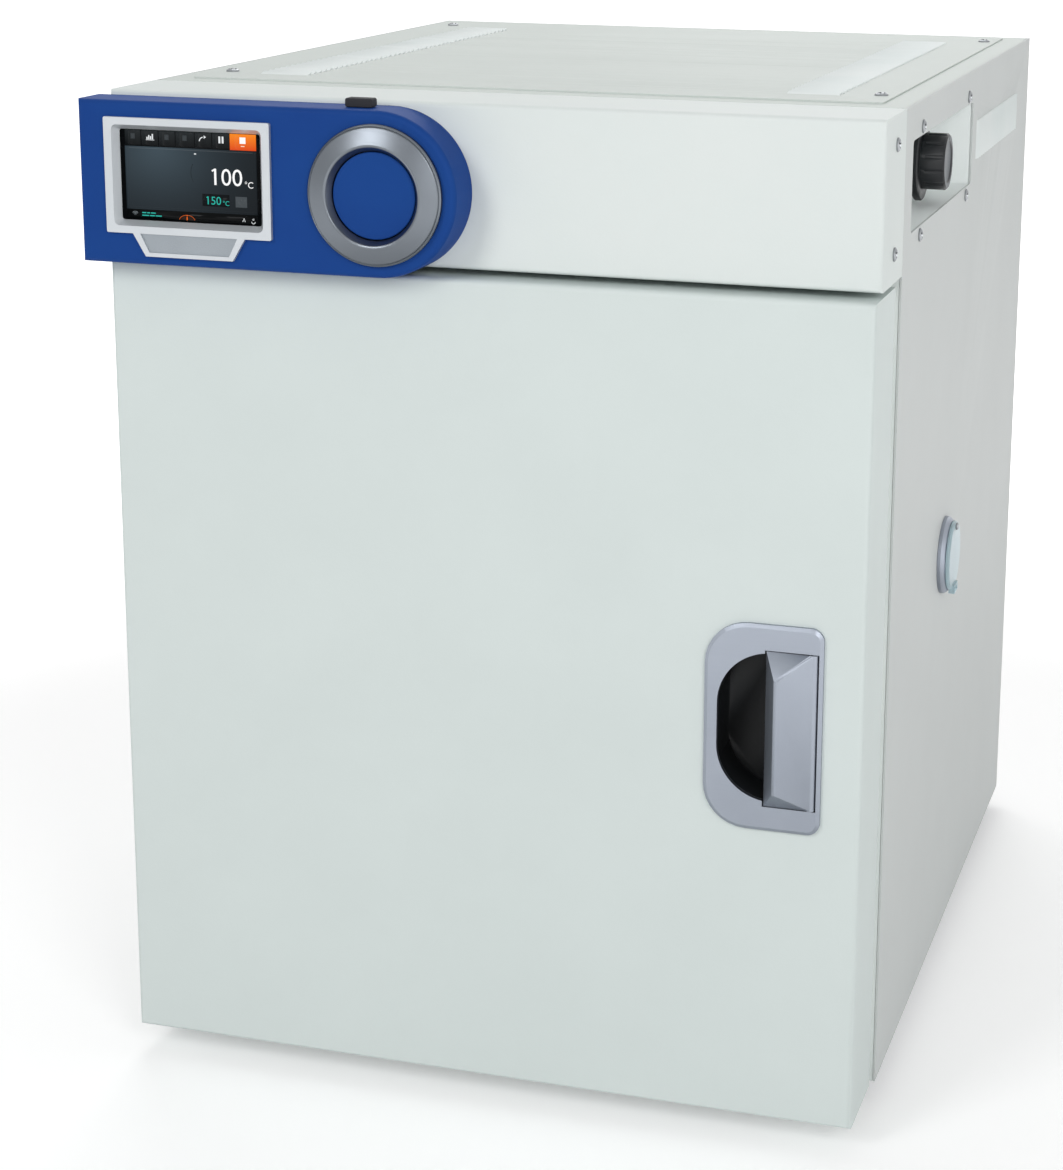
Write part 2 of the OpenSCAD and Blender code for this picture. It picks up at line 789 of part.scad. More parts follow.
module side_insulation() {
    color(wool_yellow) difference() {
        for (s = [-1, 1])
            translate([s > 0 ? cx + liner_t + seam : -wool_x, wool_y, wool_z])
                cube([wool_x - cx - liner_t - seam, bulk_y - seam - wool_y, tray_z - seam - wool_z]);
        translate([cx - 5, port_yc, port_zc]) rod_x(tube_r + pass_gap, hw);
        floor_screw_room();
    }
}

// Room over the heads of the foot screws and of the lower hinge's screws.
module floor_screw_room() {
    h = sheet + screw_head_h + 1;
    at_feet() cylinder(r = screw_head_r + 1, h = h);
    translate([hinge_x - 6, fy, zb]) cube([12, 32, h]);
}

module core_slab(z0, z1) {
    translate([-cx - liner_t, wool_y, z0]) cube([chamber_w + 2 * liner_t, cy1 - wool_y, z1 - z0]);
}

module top_insulation() {
    color(wool_yellow) difference() {
        core_slab(cz1 + liner_t + seam, tray_z - seam);
        translate([duct_x, knob_yc, cz1]) cylinder(r = duct_r + duct_wall + pass_gap, h = 100);
    }
}

module bottom_insulation() {
    color(wool_yellow) difference() {
        core_slab(wool_z, cz0 - liner_t - seam);
        floor_screw_room();
    }
}

module rear_insulation() {
    y0 = cy1 + liner_t + seam;
    color(wool_yellow) difference() {
        translate([-cx - liner_t, y0, wool_z])
            cube([chamber_w + 2 * liner_t, bulk_y - seam - y0, tray_z - seam - wool_z]);
        translate([0, y0 - 1, axis_z]) rod_y(fan_shaft_r + 4, 80);
        at_heater_ends() rod_y(heater_end_r + pass_gap, ry - heater_y);
        at_sensor() rod_y(sensor_r + pass_gap, ry - cy1);
    }
}

module control_tray() {
    w = hw - 2 * skin;
    lip = 14;
    color(zinc) difference() {
        union() {
            translate([-w, wool_y, tray_z]) cube([2 * w, bulk_y - wool_y, sheet]);
            translate([-w, wool_y, tray_z]) cube([2 * w, sheet, lip]);
        }
        translate([duct_x, knob_yc, tray_z - 5]) cylinder(r = duct_r + duct_wall + pass_gap, h = 10);
    }
}

module rear_bulkhead() {
    w = hw - 2 * skin;
    color(zinc) difference() {
        union() {
            translate([-w, bulk_y, wool_z]) cube([2 * w, sheet, tray_z + sheet - wool_z]);
            translate([-w, bulk_y, tray_z]) cube([2 * w, 20, sheet]);
        }
        translate([0, bulk_y - 5, axis_z]) rod_y(16, 10);
        at_heater_ends() rod_y(heater_end_r + pass_gap, ry - heater_y);
        at_sensor() rod_y(sensor_r + pass_gap, ry - cy1);
    }
}

// Shelves and their racks

module shelf_rack(s) {
    x = s * rack_x;
    post_y = [shelf_y0 + 30, shelf_y0 + shelf_d - 30];
    for (y = post_y)
        translate([x - 1.5, y - 6, cz0 + seam]) cube([3, 12, chamber_h - 2 * seam]);
    for (i = [0 : runner_n - 1], d = [0, 1])
        translate([s * runner_x, shelf_y0 + 6, runner_z(i) + d * 12]) {
            rod_y(runner_r, shelf_d - 12);
            for (y = post_y)
                translate([s > 0 ? 0 : -7, y - shelf_y0 - 6, 0]) rod_x(runner_r * 0.9, 7);
        }
}

function runner_z(i) = cz0 + runner_first + i * runner_pitch;

module shelf_rack_left() {
    color(stainless) shelf_rack(-1);
}

module shelf_rack_right() {
    color(stainless) shelf_rack(1);
}

// A wire shelf resting on runner number i: a rim with round corners, thin wires and two cross bars.
module wire_shelf(i) {
    w = 2 * shelf_hw;
    c = shelf_corner;
    bar_r = rim_r * 0.8;
    z = runner_z(i) + runner_r + seam + rim_r;
    translate([0, shelf_y0 + shelf_d / 2, z]) {
        for (s = [-1, 1]) {
            translate([-w / 2 + c, s * (shelf_d / 2 - rim_r), 0]) rod_x(rim_r, w - 2 * c);
            translate([s * (w / 2 - rim_r), -shelf_d / 2 + c, 0]) rod_y(rim_r, shelf_d - 2 * c);
            for (t = [-1, 1])
                translate([s * (w / 2 - c), t * (shelf_d / 2 - c), 0])
                    rotate((s > 0 ? 0 : 90) + (t > 0 ? 0 : (s > 0 ? -90 : 90)))
                        rotate_extrude(angle = 90) translate([c - rim_r, 0]) circle(rim_r);
        }
        for (k = [1 : wire_n])
            translate([-w / 2 + k * w / (wire_n + 1), -shelf_d / 2 + rim_r, 0])
                rod_y(wire_r, shelf_d - 2 * rim_r);
        for (y = [-1, 1])
            translate([-w / 2 + rim_r, y * shelf_d / 6, 0])
                translate([0, 0, -wire_r * 0.6]) rod_x(bar_r, w - 2 * rim_r);
    }
}

module shelf_lower() {
    color("white") wire_shelf(1);
}

module shelf_upper() {
    color("white") wire_shelf(4);
}

// Air system

module air_baffle() {
    t = liner_t;
    w = cx - seam;
    color(stainless) difference() {
        union() {
            translate([-w, plenum_y, cz0 + seam]) cube([2 * w, t, chamber_h - 2 * seam]);
            for (s = [-1, 1])
                translate([s > 0 ? w - t : -w, plenum_y, cz0 + seam]) cube([t, 14, chamber_h - 2 * seam]);
        }
        for (ring = [0 : 3], k = [0 : max(0, ring * 6 - 1)])
            rotate_about_fan(ring == 0 ? 0 : k * 360 / (ring * 6)) translate([ring * 13, -5, 0]) rod_y(4, 10);
        for (s = [-1, 1], i = [0 : 11])
            translate([s * (cx - 28), plenum_y - 5, cz0 + 45 + i * (chamber_h - 90) / 11])
                wall_xz(10) rounded_rect(24, 8, 3.9);
    }
}

// Turns a child about the fan's axis, from the baffle's plane.
module rotate_about_fan(a) {
    translate([0, plenum_y, axis_z]) rotate([0, a, 0]) children();
}

module fan_wheel() {
    y0 = plenum_y + 8;
    color(zinc) {
        translate([0, y0 + fan_w, axis_z]) rod_y(fan_r, 1.2);
        translate([0, y0, axis_z]) difference() {
            rod_y(fan_r, 1.2);
            translate([0, -1, 0]) rod_y(fan_r * 0.68, 4);
        }
        translate([0, y0 + fan_w - 14, axis_z]) rod_y(9, 14.5);
        for (k = [0 : fan_blades - 1])
            translate([0, 0, axis_z]) rotate([0, k * 360 / fan_blades, 0])
                translate([fan_r * 0.7, y0, -0.6]) cube([fan_r * 0.26, fan_w + 1, 1.2]);
        translate([0, y0 + fan_w, axis_z]) rod_y(fan_shaft_r, bulk_y + sheet + 14 - y0 - fan_w);
    }
}

module fan_motor() {
    y0 = bulk_y + sheet;
    color(zinc) difference() {
        union() {
            translate([0, y0 + 8, axis_z]) rod_y(38, 46);
            translate([0, y0 + 54, axis_z]) rod_y(14, 6);
            translate([-46, y0 + 6, axis_z - 46]) cube([92, 3, 92]);
            for (x = [-1, 1], z = [-1, 1]) translate([x * 40, y0 + 0.3, axis_z + z * 40]) rod_y(4, 6);
        }
        translate([0, y0, axis_z]) rod_y(fan_shaft_r + run_gap, 16);
    }
}

// The heater's two straight ends leave to the back.
module at_heater_ends() {
    for (s = [-1, 1])
        translate([s * heater_ends / 2, heater_y, axis_z - heater_drop]) children();
}

module heater_element() {
    a = asin(heater_ends / 2 / heater_ring_r);
    color(silver) {
        translate([0, heater_y, axis_z]) rotate([90, -90 + a, 0])
            rotate_extrude(angle = 360 - 2 * a) translate([heater_ring_r, 0]) circle(heater_r);
        at_heater_ends() translate([0, -heater_end_r - 1, 0])
            rod_y(heater_end_r, bulk_y + sheet + 19 + heater_end_r - heater_y);
    }
}

module at_sensor() {
    translate([cx - sensor_in, cy1 - sensor_in + 5, cz1 - sensor_in]) children();
}

module temperature_sensor() {
    color(silver) {
        at_sensor() rod_y(sensor_r, bulk_y + sheet + 12 - cy1 + sensor_in - 5);
        translate([cx - sensor_in, cy1 - 3, cz1 - sensor_in]) difference() {
            rod_y(2 * sensor_r, 3 - seam);
            translate([0, -1, 0]) rod_y(sensor_r - 0.5, 5);
        }
    }
}

// Access port

module port_tube() {
    x0 = cx;
    color(nylon) translate([x0, port_yc, port_zc]) difference() {
        rod_x(tube_r, hw - x0 - seam);
        translate([-1, 0, 0]) rod_x(port_r, hw);
    }
}

module port_flange() {
    t = port_flange_t;
    color(silver) translate([hw, port_yc, port_zc]) difference() {
        rotate([0, 90, 0]) rotate_extrude() polygon([
            [port_r, 0], [port_flange_r, 0], [port_flange_r, t * 0.45], [port_flange_r - 1, t * 0.75],
            [port_flange_r - 3, t], [port_r, t]
        ]);
        translate([0, 0, cover_pivot]) rod_x(screw_r + pass_gap, t + 1);
    }
}

module port_cover() {
    x0 = hw + port_flange_t + seam;
    color([0.80, 0.87, 0.89]) translate([x0, port_yc, port_zc]) difference() {
        union() {
            rotate([0, 90, 0]) rotate_extrude() polygon([
                [0, 0], [cover_r, 0], [cover_r, cover_t * 0.5], [cover_r - 1.2, cover_t], [0, cover_t]
            ]);
            translate([0, -7, -cover_r - 2]) cube([cover_t + 2, 14, 7]);
        }
        translate([-1, 0, cover_pivot]) rod_x(screw_r + run_gap, cover_t + 4);
        translate([cover_t * 0.6, -5, -cover_r - 0.6]) cube([cover_t + 2, 10, 4.2]);
    }
}

module port_cover_screw() {
    x0 = hw + port_flange_t + seam + cover_t + seam;
    color(silver) translate([x0, port_yc, port_zc + cover_pivot]) {
        rotate([0, 90, 0]) rotate_extrude() polygon([
            [0, 0], [2.9, 0], [2.9, 0.7], [2, 1.5], [0, 1.8]
        ]);
        translate([-cover_t - 2 * seam - port_flange_t, 0, 0])
            rod_x(screw_r, cover_t + 2 * seam + port_flange_t + 0.01);
    }
}

// Side recess with the exhaust damper

module recess_box() {
    t = sheet;
    depth = recess_d - sheet - seam;
    color(paint_white) translate([recess_x, recess_yc, recess_zc]) difference() {
        union() {
            wall_yz(depth) rounded_rect(recess_l + 2 * t, recess_h + 2 * t, recess_corner + t);
            translate([depth - t, 0, 0]) wall_yz(t)
                rounded_rect(recess_l + 20, recess_h + 2 * recess_screw_out + 4, 3);
        }
        translate([t, 0, 0]) wall_yz(depth) rounded_rect(recess_l, recess_h, recess_corner);
        translate([-1, knob_yc - recess_yc, knob_zc - recess_zc]) rod_x(shaft_r + run_gap, t + 2);
        translate([9, recess_l / 2 - 1, 9.3 - recess_h / 2]) wall_xz(5) rounded_rect(13.4, 15.4, 3);
        translate([-recess_x, -recess_yc, -recess_zc]) at_recess_screws() screw_hole();
    }
}

module data_port() {
    translate([recess_x + 9, recess_yc + recess_l / 2 - 1, recess_z0 + 9.3]) color(black) difference() {
        union() {
            wall_xz(14) rounded_rect(12.8, 14.8, 2.8);
            translate([0, 1 + sheet + seam, 0]) wall_xz(2) rounded_rect(18, 20, 2);
        }
        translate([0, -1, 0]) wall_xz(10) rounded_rect(8, 11, 1);
    }
}

module damper_knob() {
    hub_l = knob_x - recess_x - sheet - seam;
    color(black) translate([knob_x, knob_yc, knob_zc]) difference() {
        union() {
            rotate([0, 90, 0]) rotate_extrude() polygon([
                [0, 0], [knob_flange_r - 1, 0], [knob_flange_r, 1], [knob_flange_r, 4.5],
                [knob_flange_r - 1, 5.5], [knob_r, 5.5], [knob_r, 5.5 + knob_l - 1.5],
                [knob_r - 1.5, 5.5 + knob_l], [knob_r - 5, 5.5 + knob_l], [knob_r - 6, 4.5 + knob_l],
                [0, 4.5 + knob_l]
            ]);
            translate([-hub_l, 0, 0]) rod_x(9, hub_l + 1);
        }
        translate([-hub_l - 1, 0, 0]) rod_x(shaft_r + run_gap, hub_l + 9);
        translate([4.8 + knob_l, -0.8, 4]) cube([2, 1.6, knob_r]);
        for (k = [0 : 11]) rotate([k * 30 + 15, 0, 0])
            translate([9, 0, knob_r + 1.6]) rod_x(2.2, knob_l);
    }
}

module damper_shaft() {
    x0 = duct_x - duct_r - duct_wall - 4;
    color(silver) {
        translate([x0, knob_yc, knob_zc]) rod_x(shaft_r, knob_x + 8 - x0);
        translate([duct_x, knob_yc, knob_zc - 0.8]) cylinder(r = duct_r - 0.5, h = 1.6);
    }
}

module exhaust_duct() {
    r1 = duct_r + duct_wall;
    color(nylon) difference() {
        union() {
            translate([duct_x, knob_yc, cz1]) cylinder(r = r1, h = zt - 14 - cz1);
            translate([duct_x, knob_yc, tray_z + sheet + seam]) cylinder(r = r1 + 8, h = 3);
        }
        translate([duct_x, knob_yc, cz1 - 1]) cylinder(r = duct_r, h = cab_h);
        translate([duct_x - r1 - 1, knob_yc, knob_zc]) rod_x(shaft_r + run_gap, 2 * r1 + 2);
    }
}

// Fascia over the door

module fascia_panel() {
    depth = fascia_reach - seam;
    color(paint_white) difference() {
        translate([0, fascia_y, fascia_z + fascia_h / 2]) soft_front(cab_w, fascia_h, depth, fold_r);
        translate([0, fascia_y + sheet, fascia_z + fascia_h / 2])
            soft_front(cab_w - 2 * sheet, fascia_h - 2 * sheet, depth, fold_r - sheet);
        translate([-hw + sheet, fy - bracket_t - 1, fascia_z - 1]) cube([cab_w - 2 * sheet, 10, 5]);
        translate([panel_x0 + wire_in + wire_w / 2, fascia_y - 1, panel_zc])
            wall_xz(5) rounded_rect(wire_w, panel_h - 2 * wire_edge, 6);
        at_fascia_screws() screw_hole();
    }
}

// Control panel

// The panel's outline, inset from its faces: a bar that ends in a half round at the dial.
module panel_solid(inset, x0, depth) {
    r = panel_h / 2 - inset;
    e = panel_edge - min(inset, panel_edge - 1);
    translate([dial_x, 0, panel_zc]) rotate([-90, 0, 0]) rotate([0, 0, -90])
        rotate_extrude(angle = 180) intersection() {
            nose(r, depth, e);
            square([r + 1, depth]);
        }
    intersection() {
        translate([dial_x, 0, panel_zc - r]) linear_extrude(2 * r) nose(dial_x - x0, depth, e);
        translate([x0, 0, panel_zc]) rotate([0, 90, 0]) linear_extrude(dial_x - x0) nose(r, depth, e);
    }
}

module panel_housing() {
    lip = max(panel_wall, fascia_z - panel_z0 + 1);
    color(panel_blue) difference() {
        translate([0, panel_y, 0]) panel_solid(0, panel_x0, panel_t);
        difference() {
            translate([0, panel_y + panel_wall, 0]) panel_solid(panel_wall, panel_x0 + panel_over + 1, panel_t);
            translate([panel_x0 - 1, panel_y, panel_z0 - 1]) cube([panel_l + 2, panel_t + 5, lip + 1]);
        }
        translate([bezel_x, panel_y - 1, bezel_z]) wall_xz(5) square([bezel_w - 8, bezel_h - 8], center = true);
        translate([dial_x, panel_y - 1, panel_zc]) rod_y(skirt_r + 0.5, 5);
        translate([cap_x - 7.2, cap_y - 3.7, panel_z1 - 5]) cube([14.4, 7.4, 10]);
    }
}

module bezel_outline(grow) {
    rounded_rect(bezel_w + 2 * grow, bezel_h + 2 * grow, bezel_edge_r);
    polygon([
        [-bezel_w * 0.34 - grow, -bezel_h / 2 + 4], [bezel_w * 0.34 + grow, -bezel_h / 2 + 4],
        [bezel_w * 0.34 + grow, -bezel_h / 2], [bezel_w * 0.265 + grow, -bezel_h / 2 - bezel_tab - grow],
        [-bezel_w * 0.265 - grow, -bezel_h / 2 - bezel_tab - grow], [-bezel_w * 0.34 - grow, -bezel_h / 2]
    ]);
}

module screen_bezel() {
    depth = bezel_rise + screen_sink;
    flare = 4;
    color(silver) translate([bezel_x, panel_y - bezel_rise, bezel_z]) difference() {
        union() {
            wall_xz(bezel_rise - 0.01) bezel_outline(0);
            wall_xz(depth) square([bezel_w - 8 - 2 * seam, bezel_h - 8 - 2 * seam], center = true);
        }
        hull() {
            translate([0, -0.01, 0])
                wall_xz(0.02) rounded_rect(screen_w + 2 * flare, screen_h + 2 * flare, flare, $fn = 32);
            translate([0, depth - 1, 0]) wall_xz(2) rounded_rect(screen_w, screen_h, 1.5, $fn = 32);
        }
        translate([0, -1, -bezel_h / 2]) wall_xz(2) polygon([
            [-bezel_w * 0.34 + 2 * tab_rim, 0], [bezel_w * 0.34 - 2 * tab_rim, 0],
            [bezel_w * 0.265 - tab_rim, tab_rim - bezel_tab], [tab_rim - bezel_w * 0.265, tab_rim - bezel_tab]
        ]);
    }
}

module display_glass() {
    color([0.1, 0.12, 0.14]) translate([bezel_x, panel_y + screen_sink + seam, bezel_z])
        wall_xz(1.8) rounded_rect(screen_w + 5, screen_h + 5, 1.5);
}

module display_module() {
    color(zinc) translate([bezel_x, panel_y + screen_sink + 2 * seam + 1.8, bezel_z])
        wall_xz(4.5) square([screen_w + 5, screen_h + 6], center = true);
}

module control_board() {
    x0 = panel_x0 + board_in;
    w = dial_x + board_past - x0;
    post_l = board_y - panel_y - panel_wall;
    color(board_green) translate([x0 + w / 2, board_y, panel_zc]) {
        wall_xz(board_t) rounded_rect(w, board_h, 3);
        for (x = [-88 : 32 : -24]) translate([x, board_t - 0.1, 6]) cube([20, 3, 20]);
        for (x = [-1, 1], z = [-1, 1])
            translate([x * (w / 2 - 6), -post_l, z * (board_h / 2 - 4)]) rod_y(3, post_l + 1);
    }
}

module dial_ring() {
    h = dial_rise;
    color(silver) translate([dial_x, panel_y, panel_zc]) turned_front() polygon([
        [skirt_r - 2.95, -10], [skirt_r, -10], [skirt_r, 0.4], [dial_r, 0.4], [dial_r, h * 0.42],
        [dial_r - 0.6, h * 0.52], [dial_r - 2, h * 0.56], [dial_mouth_r + 1, h],
        [dial_mouth_r - 0.4, h - 0.3], [button_r + 0.5, button_rise - 0.2], [button_r + 0.5, -1],
        [skirt_r - 2.95, -1]
    ]);
}

module dial_button() {
    r = button_r;
    color(panel_blue) translate([dial_x, panel_y, panel_zc]) turned_front() polygon([
        [0, -10], [4, -10], [4, 0], [r - 0.8, 0], [r, 0.8], [r, button_rise - 0.8],
        [r - 0.8, button_rise], [0, button_rise]
    ]);
}

module dial_encoder() {
    hub_r = skirt_r - 2.95 - run_gap;
    color(black) translate([dial_x, panel_y, panel_zc]) turned_front() polygon([
        [4 + run_gap, -2.4], [hub_r, -2.4], [hub_r, -10.6], [skirt_r + 1, -10.6],
        [skirt_r + 1, -18.7], [0, -18.7], [0, -12], [4 + run_gap, -12]
    ]);
}

module usb_socket() {
    color(zinc) translate([cap_x - 7, cap_y - 3.5, socket_z0]) difference() {
        cube([14, 7, 14]);
        translate([1, 1, 3]) cube([12, 5, 14]);
    }
}

module usb_cap() {
    color(black) {
        translate([cap_x, cap_y, panel_z1 + 0.2]) {
            translate([0, -cap_d / 2, cap_h / 2])
                wall_xz(cap_d) rounded_rect(cap_w, cap_h, 1.5);
            translate([-cap_w / 2 + 1.5, -cap_d / 2, 0]) cube([cap_w - 3, cap_d, 1]);
        }
        translate([cap_x - 5.7, cap_y - 2.2, panel_z1 - 9]) cube([11.4, 4.4, 9.5]);
    }
}

// Power supply in the rear of the top compartment

module power_board() {
    post_in = 8;
    top = board_stand + board_t - 0.6;
    color(board_green) translate([-power_x, fy + power_y, tray_z + sheet]) {
        translate([0, 0, board_stand]) cube([power_w, power_d, board_t]);
        for (x = [post_in, power_w - post_in], y = [post_in, power_d - post_in])
            translate([x, y, seam]) cylinder(r = 3, h = board_stand);
        translate([15, 20, top]) cube([45, 50, 30]);
        translate([75, 25, top]) cylinder(r = 14, h = 35);
        translate([110, 25, top]) cylinder(r = 12, h = 30);
        translate([20, 100, top]) cube([power_w - 40, 60, 22]);
    }
}

module mains_inlet() {
    w = inlet_w;
    h = inlet_h;
    color(black) translate([inlet_x, ry, inlet_z]) difference() {
        union() {
            translate([0, -24, 0]) wall_xz(24) rounded_rect(w, h, 2);
            wall_xz(inlet_proud) rounded_rect(w + 22, h + 8, 3);
        }
        translate([0, -14, 0]) wall_xz(20) rounded_rect(w - 5, h - 5, 2);
    }
    color("silver") for (x = [-7, 0, 7])
        translate([inlet_x + x - 1, ry - 14.5, inlet_z - 2]) cube([2, 12, 4]);
}

// Door hinges

module hinge_brackets() {
    plate_l = 26;
    edge = hinge_x + hw - 2;
    color(zinc) {
        difference() {
            union() {
                translate([hinge_x - edge, hinge_y - 10, bracket_z]) cube([plate_l, hinge_fwd + 10, bracket_t]);
                translate([hinge_x - 3, fy - bracket_t, bracket_z]) cube([plate_l - edge + 3, bracket_t, 26]);
            }
            translate([hinge_x, hinge_y, bracket_z - 1]) cylinder(r = pin_r + run_gap, h = bracket_t + 2);
            for (z = hinge_screw_z) translate([hinge_screw_x, fy - 5, fascia_z + z]) rod_y(screw_r + pass_gap, 8);
        }
        difference() {
            translate([hinge_x - edge, hinge_y - 10, zb - bracket_t])
                cube([plate_l, hinge_fwd + 42, bracket_t]);
            translate([hinge_x, hinge_y, zb - bracket_t - 1]) cylinder(r = pin_r + run_gap, h = bracket_t + 2);
            for (y = hinge_screw_y) translate([hinge_x, fy + y, zb - 5]) cylinder(r = screw_r + pass_gap, h = 10);
        }
    }
}

module hinge_pins() {
    color(silver) translate([hinge_x, hinge_y, 0]) {
        translate([0, 0, dz1 - pin_l]) cylinder(r = pin_r, h = bracket_z + bracket_t + 0.5 - dz1 + pin_l);
        translate([0, 0, bracket_z + bracket_t]) cylinder(r = pin_r + 2, h = 0.9);
        translate([0, 0, zb - bracket_t - 1]) cylinder(r = pin_r, h = bracket_t + 1 + door_lift + pin_l);
        translate([0, 0, zb - bracket_t - 1.5]) cylinder(r = pin_r + 2, h = 1.5);
        translate([0, 0, zb]) cylinder(r = pin_r + 2.5, h = door_lift - 1 - seam);
    }
}

module hinge_bushes() {
    r = pin_r + run_gap;
    color(nylon) for (m = [0, 1])
        translate([hinge_x, hinge_y, m == 0 ? dz0 : dz1]) mirror([0, 0, m]) difference() {
            union() {
                translate([0, 0, -1]) cylinder(r = bush_r + 1.5, h = 1);
                cylinder(r = bush_r, h = pin_l + 2);
            }
            translate([0, 0, -2]) cylinder(r = r, h = pin_l + 2.3);
        }
}

// Door

module at_handle() {
    translate([plate_x, dy0, plate_z]) children();
}

module cup_outline(grow) {
    d_outline(cup_w + 2 * grow, cup_h + 2 * grow, 38 + grow, 3 + grow);
}

module at_cup() {
    translate([cup_x, dy0, plate_z + 1]) children();
}

module door_skin() {
    color(paint_white) difference() {
        translate([0, dy0, (dz0 + dz1) / 2]) soft_front(door_w, door_h, door_t, fold_r);
        translate([0, dy0 + sheet, (dz0 + dz1) / 2])
            soft_front(door_w - 2 * sheet, door_h - 2 * sheet, door_t - 2 * sheet, fold_r - sheet);
        translate([-dhw + door_return, dy1 - 10, dz0 + door_return])
            cube([door_w - 2 * door_return, 20, door_h - 2 * door_return]);
        at_cup() translate([0, -5, 0]) wall_xz(10) cup_outline(cup_wall + seam);
        translate([paddle_x1 - 5, dy0 - 5, plate_z - slot_h / 2]) cube([slot_x1 - paddle_x1 + 5, 10, slot_h]);
        for (z = [dz0 - 5, dz1 - 5]) translate([hinge_x, hinge_y, z]) cylinder(r = bush_r + run_gap, h = 10);
        translate([ejector_x, dy1 - 10, plate_z]) rod_y(ejector_r + pass_gap, 20);
    }
}

module door_inner_panel() {
    t = liner_t;
    w = dhw - seal_in - seal_w - seam;
    z0 = dz0 + seal_in + seal_w + seam;
    h = dz1 - dz0 - 2 * (seal_in + seal_w + seam);
    raise = 6;
    in = 42;
    color(stainless) difference() {
        union() {
            translate([0, dy1, z0 + h / 2]) wall_xz(t) rounded_rect(2 * w, h, 4);
            translate([0, dy1, z0 + h / 2]) wall_xz(raise) rounded_rect(2 * (w - in), h - 2 * in, 12);
        }
        translate([0, dy1 - t, z0 + h / 2]) wall_xz(raise) rounded_rect(2 * (w - in - t), h - 2 * (in + t), 11);
        translate([ejector_x, dy1 - 10, plate_z]) rod_y(ejector_r + pass_gap, 20);
    }
}

module door_insulation() {
    g = sheet + seam;
    y0 = dy0 + g;
    color(wool_yellow) difference() {
        translate([0, y0, (dz0 + dz1) / 2])
            soft_front(door_w - 2 * g, door_h - 2 * g, door_t - 2 * g, fold_r - g);
        at_cup() translate([0, -5, 0]) wall_xz(cup_d + 5 + seam) cup_outline(cup_wall + seam);
        translate([paddle_x1 - 6, dy0, plate_z - slot_h / 2]) cube([slot_x1 - paddle_x1 + 6.5, 4, slot_h]);
        translate([paddle_x1 - 6, dy0, plate_z - 14]) cube([tail_l + 12, 26, 28]);
        translate([ejector_x, dy0, plate_z]) rod_y(ejector_r + 1, door_t);
        for (z = [dz0, dz1]) translate([hinge_x, hinge_y, z - 20]) cylinder(r = pin_r + 4, h = 40);
    }
}

// The seal's ring, w wide, with its outer edge set in from the seal's own edge.
module seal_ring(w, in, y, d) {
    ow = door_w - 2 * (seal_in + in);
    oh = door_h - 2 * (seal_in + in);
    translate([0, y, (dz0 + dz1) / 2]) wall_xz(d) difference() {
        rounded_rect(ow, oh, 8 - in / 2);
        rounded_rect(ow - 2 * w, oh - 2 * w, 3);
    }
}

module door_seal() {
    d = fy - seal_gap - dy1;
    color("white") {
        seal_ring(seal_w, 0, dy1, 3);
        seal_ring(seal_w - 7, 3.5, dy1 + 2.9, d - 7.8);
        seal_ring(seal_w - 1, 0.5, dy1 + d - 5, 5);
    }
}

module handle_plate() {
    rim = 2.5;
    bevel = 1.6;
    color(silver) difference() {
        at_handle() hull() {
            translate([0, -plate_t + bevel, 0]) wall_xz(plate_t - bevel) d_outline(plate_w, plate_h, 30, 9, $fn = 32);
            translate([0, -plate_t, 0]) wall_xz(plate_t)
                d_outline(plate_w - 2 * rim, plate_h - 2 * rim, 30 - rim, 9 - rim, $fn = 32);
        }
        at_cup() translate([0, -10, 0]) wall_xz(20) cup_outline(0);
        translate([paddle_x0 - 1, dy0 - 10, plate_z - slot_h / 2]) cube([slot_x1 - paddle_x0 + 1, 20, slot_h]);
        for (s = [-1, 1]) translate([paddle_x1, paddle_y, plate_z + s * (slot_h / 2 + 1.5)]) {
            translate([0, 0, -2.5]) cylinder(r = paddle_pin_r + run_gap, h = 5);
            translate([-paddle_pin_r - run_gap, 0, -2.5]) cube([2 * (paddle_pin_r + run_gap), 3, 5]);
        }
    }
}

module handle_cup() {
    color(black) difference() {
        at_cup() wall_xz(cup_d) cup_outline(cup_wall);
        at_cup() translate([0, -1, 0]) wall_xz(cup_d - cup_wall + 1) cup_outline(0);
        translate([paddle_x1 - 5, dy0 - 1, plate_z - slot_h / 2]) cube([10, 3.5, slot_h]);
        translate([paddle_x1 - 5, dy0 - 1, plate_z - 8]) cube([10, 18, 16]);
    }
}

// The paddle's cross-section: a wedge with its ridge near the free edge.
module paddle_section() {
    face = plate_y - paddle_y;
    top = face - paddle_rise;
    polygon([
        [0, face + 1.5], [0, face], [ridge_in, top + 0.6], [ridge_in + 2.5, top], [paddle_w, -barrel_r],
        [paddle_w, 0]
    ]);
}

// The cross-section of its hollow, open to the back for the fingertips.
module paddle_hollow() {
    face = plate_y - paddle_y;
    polygon([
        [paddle_wall * 0.8, barrel_r], [paddle_wall * 0.8, face + 1.5],
        [ridge_in + 2.5, face - paddle_rise + paddle_wall * 1.25],
        [paddle_w, -barrel_r + paddle_wall * 1.25], [paddle_w, barrel_r]
    ]);
}

// The paddle's length with its two sloped ends, drawn in by wall at each end.
module paddle_ends(wall) {
    half = paddle_h / 2 - wall;
    face = plate_y - paddle_y;
    top = face - paddle_rise;
    translate([-1, 0, 0]) rotate([90, 0, 90]) linear_extrude(paddle_w + 2) polygon([
        [barrel_r + 1, -half], [face, -half], [top - 0.1, paddle_slope - half],
        [top - 0.1, half - paddle_slope], [face, half], [barrel_r + 1, half]
    ]);
}

